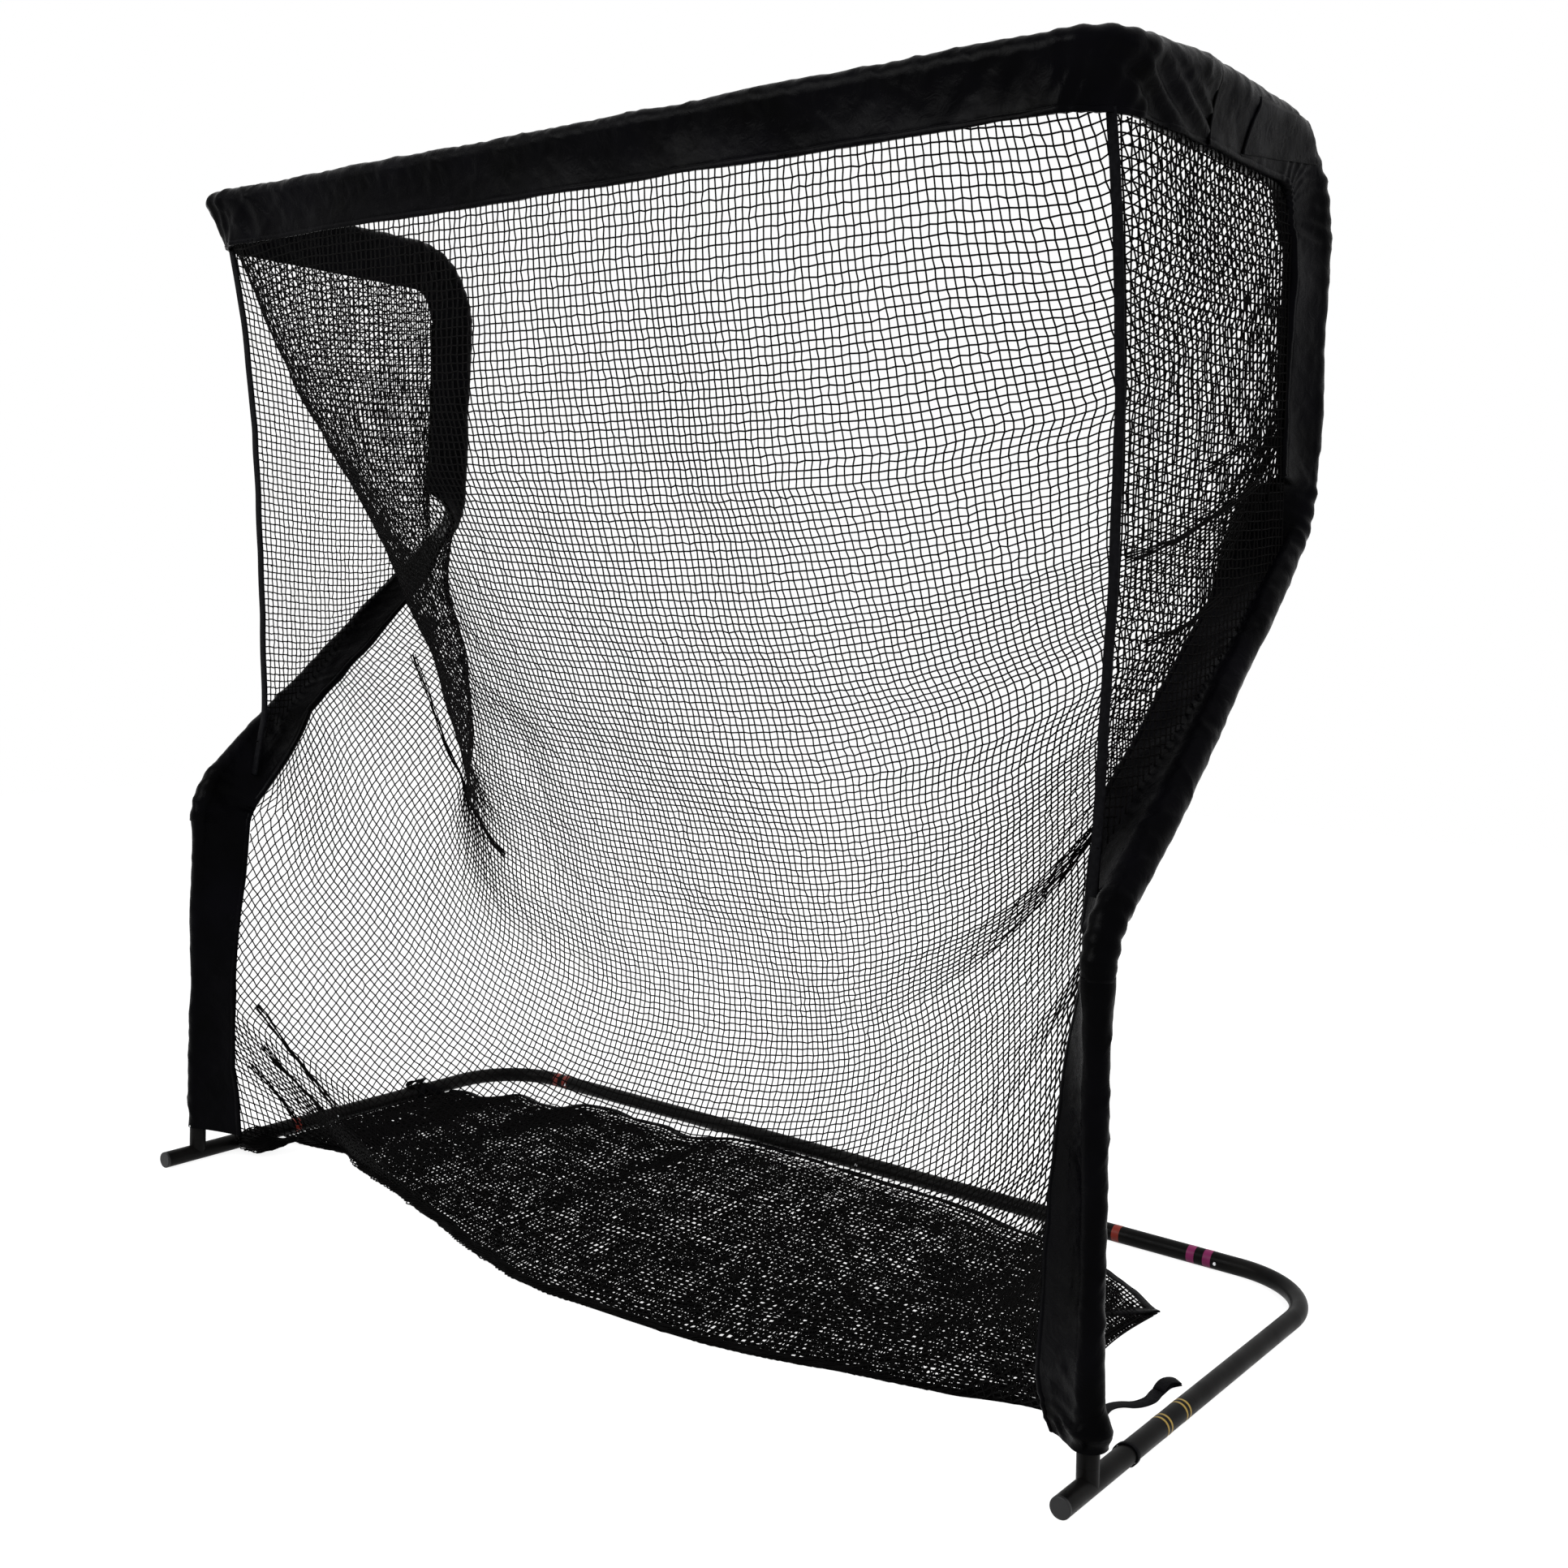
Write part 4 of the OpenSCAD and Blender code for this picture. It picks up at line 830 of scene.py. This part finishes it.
def mainNetPoints():
    # A cubic down each control column, then one across each row, spaced evenly along the row.
    # Room is the distance to the flaps, below 0 where the net has been cut off.
    m = mainNet
    down, half = (int(round(m[key] / pitch)) for key in ("drop", "halfWidth"))
    metresDown = np.linspace(0, m["drop"], down + 1)
    control = np.stack([m[key] for key in ("across", "behind", "height")], -1) + [0, postY, 0]
    columns = np.concatenate([through(m["stages"], control, metresDown), sideEdge(metresDown)[:, None]], 1)
    rows = np.stack([evenly(smoothLine(row, count=240), half + 1) for row in columns])
    points = np.concatenate([rows[:, :0:-1] * [-1, 1, 1], rows], 1)
    metresDown = np.arange(down + 1 + int(m["extra"] / pitch)) * pitch
    wide, long = np.meshgrid(np.linspace(-half * pitch, half * pitch, points.shape[1]), metresDown)
    points, v = slid(points, wide, long)
    points = backOnLeft(points, v)
    u = np.abs(np.linspace(-1, 1, points.shape[1]))[None]
    behind = points[..., 1] - postY
    postHem = hemLine()[::-1]  # from the foot up
    hemX, hemY = (np.interp(points[..., 2], postHem[:, 2], postHem[:, k]) for k in (0, 1))
    beyond = behind + postY - hemY
    room = np.minimum(hemZ + m["hemLap"] - points[..., 2], np.where((u > 0.8) & (v > 1.7), beyond, 1))
    room = np.minimum(room, down * pitch - v + 1e-6)
    near = eased(clipped(1 - beyond / 0.12) * clipped(u * 8 - 6.4) * clipped(v * 5 - 8.5))
    points[..., 0] += (np.sign(points[..., 0]) * hemX - points[..., 0]) * near
    calm = clipped(v / 0.15) * clipped((m["drop"] - v) / 0.2) * clipped((1 - u) / 0.05) * clipped(room / 0.06)
    swell = sum(softNoise(wide / x, long / y, seed) * high for high, x, y, seed in m["swells"])
    points = points + surfaceNormals(points) * (swell * calm)[..., None]
    points[..., 2] = np.maximum(points[..., 2], netting["overFloor"])
    return jittered(points, 7), room, rows[-1]


pleats = {  # threads drawn together along lines on the nets
    "strands": 4, "spread": 0.0030, "drift": 0.0016, "proud": 0.002,
    "net": [  # [from the middle, down the net], metres
        [(-1.45, 1.51), (-1.38, 1.56), (-1.238, 1.629), (-1.10, 1.628), (-0.88, 1.535), (-0.733, 1.548)],
        [(-1.206, 2.363), (-1.108, 2.380), (-1.059, 2.396), (-0.994, 2.429), (-0.962, 2.445)],
        [(-1.174, 2.445), (-1.108, 2.478), (-1.011, 2.510)],
        [(-1.255, 2.559), (-1.206, 2.608), (-1.174, 2.673)],
    ],
    "rightSide": [  # [behind the post, up the frame], metres
        [(0.562, 1.715), (0.470, 1.690), (0.375, 1.654)],
        [(0.575, 1.641), (0.413, 1.579), (0.300, 1.534), (0.138, 1.482)],
        [(0.445, 1.439), (0.318, 1.386), (0.206, 1.352)],
    ],
}


def pleat(line, normals, seed):  # a few threads beside a line on a net, closest together at its middle
    p = pleats
    far = travelled(line)
    sideways = unit(np.cross(np.gradient(line, axis=0), normals))
    shares = np.linspace(-1, 1, p["strands"])[:, None]
    apart = p["spread"] * (0.6 + 1.6 * abs(2 * far / far[-1] - 1)[None]) * shares
    apart = apart + p["drift"] * softNoise(far[None] / 0.04, shares * 3, seed)
    strands = line[None] + apart[..., None] * sideways[None] + p["proud"] * normals[None]
    return strands, np.broadcast_to(normals, strands.shape)


def netPleats(points):
    # Each line's places on the net's grid, and the point and normal between the four nearest knots
    bundles, facing = [], surfaceNormals(points)
    for seed, line in enumerate(pleats["net"], 130):
        places = smoothLine(np.array(line), 0.012) / pitch + [points.shape[1] // 2, 0]
        spots, normals = (between(grid, places[:, 1], places[:, 0]) for grid in (points, facing))
        bundles.append(pleat(spots, unit(normals), seed))
    return attach(addTwines("mainNetPleats", bundles))


mainPoints, mainRoom, mainHem = mainNetPoints()
middle = mainPoints.shape[1] // 2
for name, half, skip in (("Left", np.s_[:, : middle + 1], 0), ("Right", np.s_[:, middle:], 1)):
    # two halves, so that no piece has too many faces; the middle thread is the left one's
    meanDrop = (mainRoom[half] >= 0).sum() * pitch**2 / mainNet["halfWidth"]
    addNetting(f"mainNet{name}", mainPoints[half], "main_net", (mainNet["halfWidth"], meanDrop),
               room=mainRoom[half], skip=skip, extras=[] if skip else [netPleats(mainPoints)])
print("stage 4: main net,", mainPoints.shape[0], "by", mainPoints.shape[1], "knots")

frontBand = {  # the strap down a side net's front edge, by the distance up the frame
    "up": [0.93, 1.09, 1.43, 1.75, 2.02, 2.128], "behind": [0.100, 0.123, 0.121, 0.107, 0.072, 0.046],
    "inward": [0.064, 0.068, 0.050, 0.037, 0.031, 0.029], "width": 0.0175, "thickness": 0.0050,
    "start": 0.935, "pastHem": 0.014, "sway": 0.0016,
}
sideNet = {"clearance": 0.0003, "lap": 0.0024, "tuck": 0.016, "sag": 0.016, "drift": 0.004, "seed": 81,
           "ripples": [(0.006, 0.2, 0.3, 1), (0.002, 0.06, 0.09, 3)]}  # height, size and seed


def bandAt(key, up):
    return np.interp(up, frontBand["up"], frontBand[key])


def addFrontBand(side):
    b, name = frontBand, sideNames[side]
    up = np.arange(b["start"], topUp - flaps["top"] + b["pastHem"], 0.008)
    sway = b["sway"] * softNoise(up / 0.05, 0 * up, 61 + side)
    line = xyz(-bandAt("inward", up), bandAt("behind", up) + sway, up)
    line = leanToStand(through(up[::6], line[::6], up), side)
    return addStrap(f"{name}FrontBand", line, [1.0, 0, 0], b["width"], b["thickness"], f"{name}_front_band")


def sideNetting(side):
    # Level and upright threads, each cut where it meets the band, the hems or the slanting sleeve.
    # A point is share s of the way from the band back to the rear hem, at a distance up the frame.
    name, seed = sideNames[side], sideNet["seed"] + side
    high, rear, bendR = (size - flaps["rear"] - sideNet["clearance"]
                         for size in (topUp, stand["setback"], stand["crownRadius"]))
    cover, crownUp = sleeveR + sideNet["lap"], topUp - stand["crownRadius"]

    def inwardAt(s, up):  # how far the band draws the net inwards; at the top it follows the round corner
        return bandAt("inward", up) * (1 - clipped(s)) ** np.interp(up, [high - 0.25, high], [1.5, 20])

    def backAt(s, up):
        front = bandAt("behind", up)
        return front + (rear - front) * s

    def low(s, up):  # upper side of the slanting sleeve, or of its flap where the net hangs further in
        tucked = sideNet["tuck"] * clipped(inwardAt(s, up) / 0.06)
        return kneeUp + backAt(s, up) / tan(slant) + (cover - tucked) / sin(slant)

    def rearShare(up):  # rear hem, round under the crown and cut by the slant below
        over, front = np.maximum(0, up - crownUp), bandAt("behind", up)
        back = np.minimum(rear - bendR + np.sqrt(np.maximum(0, bendR**2 - over**2)),
                          (up - kneeUp - cover / sin(slant)) * tan(slant))
        return (back - front) / (rear - front)

    def highAt(back):
        over = np.maximum(0, back - (rear - bendR))
        return crownUp + np.minimum(high - topUp + stand["crownRadius"],
                                    np.sqrt(np.maximum(0, bendR**2 - over**2)))

    def placed(s, up):
        back = backAt(s, up)
        drift = softNoise(back / 0.25, up / 0.2, seed) * sideNet["drift"]
        free = clipped((high - up) / 0.1) * clipped((up - low(s, up)) / 0.1)
        sag = sideNet["sag"] * np.sin(pi * clipped(s)) * free
        ripple = sum(softNoise(back / x, up / y, seed + more) * size
                     for size, x, y, more in sideNet["ripples"])
        flat = xyz(flaps["netSplit"] - inwardAt(s, up) + ripple * free, back + drift * 0.5, up - sag)
        return jittered(leanToStand(flat, side), seed + 2, 0.8)

    width = rear - min(frontBand["behind"])
    downs = np.arange(0.5, width / pitch) * pitch / width
    lows = np.full(len(downs), kneeUp + 0.3)
    for attempt in range(6):
        lows = low(downs, lows)
    highs = highAt(backAt(downs, high))
    t = np.linspace(0, 1, int(round((high - kneeUp) / pitch)))[None]
    share = np.repeat(downs[:, None], t.shape[1], 1)
    uprights = placed(share, highs[:, None] + (lows - highs)[:, None] * t)
    levels = np.arange(lows[0] + pitch * 0.6, high, pitch)
    t = np.linspace(0, 1, len(downs) + 1)[None]
    level = placed(rearShare(levels)[:, None] * t, np.repeat(levels[:, None], t.shape[1], 1))
    out = leanToStand(np.array([[1.0, 0, 0], [0.0, 0, 0]]), side)
    normal = unit(out[0] - out[1])
    threads = addTwines(f"{name}SideNetThreads", [(line, np.broadcast_to(normal, line.shape))
                                                  for line in (uprights, level)])
    s, up = np.meshgrid(downs, levels)
    clear = netting["knotClear"]
    spots = placed(s, up)[(up > low(s, up) + clear) & (up < highAt(backAt(s, up)) - clear)]
    normals = np.broadcast_to(normal, spots.shape)
    ahead = np.broadcast_to([0.0, 1, 0], spots.shape)
    knots = addKnots(f"{name}SideNetKnots", spots, ahead, unit(np.cross(normals, ahead)), normals)
    extras, bundles = [addFrontBand(side)], []
    for seedOfPleat, line in enumerate(pleats["rightSide"] if side > 0 else [], 140):
        back, up = evenly(np.array(line), 30).T
        front = bandAt("behind", up)
        spots = placed(((back - front) / (rear - front))[None], up[None])[0]
        bundles.append(pleat(spots, np.broadcast_to(normal, spots.shape), seedOfPleat))
    if bundles:
        extras.append(attach(addTwines("rightSideNetPleats", bundles)))
    finishNet(threads, knots, f"{name}_side_net", (width, high - lows[0]))


for side in sideNames:
    sideNetting(side)
print("stage 5: side nets")

groundNet = {  # [from the middle, behind the posts] along each line
    "rear": [(-1.20, 0.80), (-1.13, 0.815), (-1.09, 0.812), (-1.06, 0.845), (-1.035, 0.895),
             (-0.93, 0.879), (-0.865, 0.887), (-0.835, 0.950), (-0.752, 0.972), (-0.63, 0.957),
             (-0.53, 0.962), (-0.449, 0.937), (-0.40, 0.955), (-0.36, 0.998), (-0.246, 1.016),
             (-0.094, 1.012), (0.114, 0.999), (0.382, 0.979), (0.512, 0.944), (0.627, 0.927),
             (0.808, 0.860), (0.982, 0.735)],
    "leftEnd": (-1.19, 0.232), "depth": 0.80, "ripple": 0.005, "rightHollow": 0.05, "cordRadius": 0.0028,
    # netting that lies doubled on the floor: [to the right, share of the depth, seed]
    "slackLayers": [(0.008, 0.97, 191), (-0.004, 0.93, 291)],
    "rightEdge": [(0.982, 0.735), (0.968, 0.66), (0.965, 0.553), (0.985, 0.40), (1.02, 0.27), (1.046, 0.215)],
    "foldedCorner": [(0.985, 0.738), (0.95, 0.697), (0.913, 0.660), (0.86, 0.625), (0.78, 0.60)],
    # hems: [name, line, height, width, seed, the solid it stands for]
    "hems": [("groundHem", "rear", 0.004, 0.015, 95, "ground_hem"),
             ("groundRightHem", "rightEdge", 0.004, 0.013, 96, None),
             ("groundFoldedHem", "foldedCorner", 0.006, 0.030, 97, None)],
    "hemThickness": 0.0035,
    "gatherWidth": [0.030, 0.045, 0.036, 0.026, 0.018, 0.015, 0.013, 0.013, 0.012], "gatherHeight": 0.012,
    "footRoll": [(-1.205, 0.190), (-1.172, 0.143), (-1.138, 0.130), (-1.112, 0.155), (-1.112, 0.205)],
    "rollWidth": 0.084, "rollHeight": 0.056, "rollMiddle": 0.027, "rollStrands": 22,
}


def onFloor(knots, height, step=0.01):  # a smooth line on the floor through [from the middle, behind] knots
    line = smoothLine(np.array(knots), step)
    return xyz(line[:, 0], postY + line[:, 1], height)


def floorCloth(front, rear, depthShare, seed, lift):
    # Points from front to rear by shares of the way, drifting and rippling between the edges. The
    # right edge is drawn in.
    g = groundNet
    count = int(round(travelled(front)[-1] / pitch))
    front, rear = evenly(front, count + 1), evenly(rear, count + 1)
    v = np.linspace(0, depthShare, int(round(g["depth"] * depthShare / pitch)) + 1)[:, None, None]
    points = front * (1 - v) + rear * v
    across, down = np.meshgrid(np.linspace(-1, 1, count + 1), v[:, 0, 0])
    free = clipped((1 - down) * 8) * clipped(down * 8) * clipped((1 - abs(across)) * 12)

    def noise(x, y, more):
        return softNoise(across * x, down * y, seed + more)

    rise = 0.5 + 0.5 * noise(7, 6, 0) + 0.4 * noise(19, 13, 3)
    points[..., 0] -= g["rightHollow"] * np.sin(pi * v[..., 0]) * clipped(across * 4 - 3)
    points[..., 2] = g["cordRadius"] + lift + np.clip(rise, 0, 2) * g["ripple"] * free
    points[..., 0] += (noise(6, 5, 1) * 0.016 + noise(17, 12, 4) * 0.004) * free
    points[..., 1] += (noise(5, 4, 2) * 0.022 + noise(15, 9, 5) * 0.005) * free
    return jittered(points, seed + 6, 0.9)


def hemTape(name, knots, height, width, seed, node):
    line = onFloor(knots, height, 0.006)
    far = travelled(line)
    line = line + xyz(0, softNoise(far / 0.05, 0 * far, seed) * 0.0025,
                      0.0012 + softNoise(far / 0.03, 0 * far + 3, seed) * 0.001)
    ways = tilted(line, 0.25 * softNoise(far / 0.04, 0 * far + 7, seed))
    return addStrap(name, line, ways, width, groundNet["hemThickness"], node, nylon)


def groundNetting():
    # From the main net's lower edge back to the wavy rear hem; slack netting lies doubled over the front
    g = groundNet
    low = backOnLeft(np.concatenate([mainHem[:0:-1] * [-1, 1, 1], mainHem]), mainNet["drop"])
    low = evenly(low[(low[:, 2] < 0.012) & (low[:, 0] > -1.0)], 130)
    x, y = g["leftEnd"]
    front, rear = np.concatenate([[[x, postY + y, netting["overFloor"]]], low]), onFloor(g["rear"], 0.003)
    rear = rear[:-1] if len(rear) % 2 else rear
    points = floorCloth(front, rear, 1.0, 91, 0.0)
    slack = []
    for shift, share, seed in g["slackLayers"]:
        slack += threadsOf(floorCloth(front + [shift, 0.008, 0], rear + [shift, -0.006, 0], share, seed,
                                      seed / 50000))
    extras = [attach(addTwines("slackNetThreads", slack))]
    extras += [hemTape(name, g[line], *rest) for name, line, *rest in g["hems"]]
    extras += addBundle("frontGather", front + [0, 0.006, 0.003], g["gatherWidth"], g["gatherHeight"], 10, 98)
    roll = onFloor(g["footRoll"], g["rollMiddle"])
    extras += addBundle("footRoll", roll, [g["rollWidth"]], g["rollHeight"], g["rollStrands"], 99)
    addNetting("groundNet", points, "ground_net", (travelled(front)[-1], (points.shape[0] - 1) * pitch),
               extras=extras)


groundNetting()
print("stage 6: ground net")

ties = {
    "width": 0.024, "thickness": 0.0022,
    "looseRoute": [(1.107, 0.182), (1.110, 0.24), (1.106, 0.298), (1.118, 0.325), (1.136, 0.345),
                   (1.146, 0.375), (1.143, 0.412), (1.145, 0.448), (1.158, 0.470)],
    "folded": 0.06, "turnsFrom": -62, "turnsTo": 242, "turnClear": 0.0016,
    "turns": [(-0.010, 0.012), (0.012, -0.010)],  # each turn's place along the tube, and its skew
    "baseAt": 0.69, "tailEnd": (-1.150, 0.80), "eyelet": 0.0032, "eyeletsAt": (-0.007, 0.008),
    "footLoopBehind": 0.135, "footLoopWidth": 0.010,
}


def looseTie():
    t = ties
    line = onFloor(t["looseRoute"], 0.0, 0.006)
    far = travelled(line)
    line[:, 2] = 0.0022 + 0.004 * clipped(softNoise(far / 0.06, 0 * far, 51)) * clipped(far / 0.05)
    ways = tilted(line, 0.10 * np.sin(far / 0.05))
    piece = addStrap("tieStrap", line, ways, t["width"], t["thickness"], "tie_strap")
    back = far > far[-1] - t["folded"]
    arch = 0.0026 + 0.006 * np.sin(pi * np.linspace(0, 1, back.sum())) ** 0.7
    loop = line[back] + arch[:, None] * [0, 0, 1]
    folded = addStrap("tieStrapEnd", loop, ways[back], t["width"] * 0.92, t["thickness"])


def baseTie():
    # Two turns of strap over the left base tube, open at the floor, a knot on top and a tail to the net
    t, r = ties, tubeR + ties["turnClear"]
    turn = np.radians(np.linspace(t["turnsFrom"], t["turnsTo"], 40))
    at = np.array([-postX, postY + t["baseAt"], 0])
    for k, (shift, skew) in enumerate(t["turns"]):
        line = at + xyz(r * np.cos(turn), shift + skew * np.cos(turn), tubeR + r * np.sin(turn))
        addStrap(f"baseTieTurn{k}", line, [0.0, 1, 0], t["width"] * 0.8, t["thickness"],
                 None if k else "base_tie")
        r += t["thickness"]
    knots = at + [[0.006, 0.01, 2 * tubeR + 0.004], [0.028, 0.03, 0.030], [0.045, 0.06, 0.006], [0, 0, 0.003]]
    knots[-1, :2] = t["tailEnd"][0], postY + t["tailEnd"][1]
    addStrap("baseTieTail", smoothLine(knots, count=30), [0.5, 1.0, 0], t["width"] * 0.8, t["thickness"])
    theta = np.linspace(0, 4.4 * pi, 90)
    knot = at + xyz(0.004 + 0.013 * np.cos(theta), 0.024 * np.sin(theta * 0.5) + 0.006 * np.sin(theta),
                    2 * tubeR + 0.010 + 0.007 * np.sin(theta + 0.6))
    ways = unit(xyz(0.3 * np.sin(theta), 1, 0.5 * np.cos(theta)))
    addStrap("baseTieKnot", knot, ways, t["width"] * 0.55, t["thickness"] * 1.6)
    angle, rise = np.meshgrid(np.linspace(0, 2 * pi, 16, endpoint=False), np.linspace(-1.35, 1.35, 9))
    ball = t["eyelet"] * xyz(np.cos(rise) * np.cos(angle), np.cos(rise) * np.sin(angle), np.sin(rise))
    for k, shift in enumerate(t["eyeletsAt"]):
        middle = at + [0.020, shift, 2 * tubeR + 0.012]
        attach(addGrid(f"tieEyelet{k}", ball + middle, steel, ring=True, closed=True))


def footLoop():
    # A turn of strap round the right base tube behind the post
    r, turn = tubeR + ties["turnClear"], np.radians(np.linspace(0, 360, 40))
    middle = np.array([postX, postY + ties["footLoopBehind"], tubeR])
    line = middle + xyz(r * np.cos(turn), 0.006 * np.cos(turn), r * np.sin(turn))
    addStrap("footLoop", line, [0.0, 1, 0], ties["footLoopWidth"], ties["thickness"])


looseTie()
baseTie()
footLoop()
print("stage 7: ties")

cameraView = {"at": (2.427, -2.9025, 1.435), "yaw": -0.657, "pitch": -0.112, "roll": 0.030,
              "focalPixels": 2145.2, "framePixels": 1932, "sensor": 36.0}
studio = {
    "floorSize": 16.0, "floorColour": (0.30, 0.30, 0.30), "floorGlow": 0.87, "light": 0.55,
    "lamps": [  # name, place, towards, size, power, seen in shiny things
        ("keyLamp", (-1.6, -4.2, 3.6), (0, -0.3, 1.2), 2.6, 190, True),
        ("fillLamp", (4.2, -1.2, 2.6), (0.3, 0, 1.1), 2.2, 90, False),
        ("rimLamp", (1.2, 3.4, 3.2), (0, 0, 1.3), 2.4, 80, False)],
}


def placeCamera():
    v = cameraView
    yaw, pitchDown, roll = v["yaw"], v["pitch"], v["roll"]
    ahead = Vector((sin(yaw) * cos(pitchDown), cos(yaw) * cos(pitchDown), sin(pitchDown)))
    level = Vector((cos(yaw), -sin(yaw), 0))
    upright = level.cross(ahead)
    right = level * cos(roll) + upright * sin(roll)
    top = upright * cos(roll) - level * sin(roll)
    data = bpy.data.cameras.new("mainCamera")
    data.sensor_width = v["sensor"]
    data.lens = v["focalPixels"] / v["framePixels"] * v["sensor"]
    camera = bpy.data.objects.new("mainCamera", data)
    turned = Matrix((right, top, -ahead)).transposed().to_4x4()
    camera.matrix_world = Matrix.Translation(v["at"]) @ turned
    bpy.context.scene.collection.objects.link(camera)
    bpy.context.scene.camera = camera


def addLight(name, at, towards, size, power, highlights):
    data = bpy.data.lights.new(name, "AREA")
    data.size, data.energy = size, power
    lamp = bpy.data.objects.new(name, data)
    lamp.location = at
    lamp.rotation_euler = (Vector(towards) - Vector(at)).to_track_quat("-Z", "Y").to_euler()
    lamp.visible_glossy = highlights
    bpy.context.scene.collection.objects.link(lamp)


def seenDirectly(tree):  # 1 for camera, mirror and glass rays, 0 for the light that falls on things
    rays = tree.nodes.new("ShaderNodeLightPath").outputs
    mirrorOrGlass = mathNode(tree, "MAXIMUM", rays["Is Glossy Ray"], rays["Is Transmission Ray"])
    return mathNode(tree, "MAXIMUM", rays["Is Camera Ray"], mirrorOrGlass)


def addFloor():
    # The floor's own white glow leaves only a faint shadow
    half = studio["floorSize"] / 2
    corners = np.array([[-half, -half, 0], [half, -half, 0], [half, half, 0], [-half, half, 0]])
    material, tree, shader = newMaterial("paleFloor", studio["floorColour"], 0.9)
    shader.inputs["Specular IOR Level"].default_value = 0.0
    strength = mathNode(tree, "MULTIPLY", seenDirectly(tree), studio["floorGlow"])
    glow = addNode(tree, "ShaderNodeEmission", [(strength, "Strength")], Color=(1, 1, 1, 1))
    both = tree.nodes.new("ShaderNodeAddShader")
    tree.links.new(shader.outputs[0], both.inputs[0])
    tree.links.new(glow.outputs[0], both.inputs[1])
    tree.links.new(both.outputs[0], tree.nodes["Material Output"].inputs["Surface"])
    addMesh("floor", corners, [np.array([[0, 1, 2, 3]])], material)


def lightWorld():
    world = bpy.data.worlds.new("studio")
    world.use_nodes = True
    tree = world.node_tree
    backdrop = tree.nodes["Background"]
    backdrop.inputs["Color"].default_value = (1, 1, 1, 1)
    brightness = rangeNode(tree, seenDirectly(tree), 0, 1, studio["light"], 1.0)
    tree.links.new(brightness, backdrop.inputs["Strength"])
    bpy.context.scene.world = world


placeCamera()
for lamp in studio["lamps"]:
    addLight(*lamp)
addFloor()
lightWorld()
bpy.context.scene.view_settings.view_transform = "Standard"
print("stage 8: camera, lamps and floor")
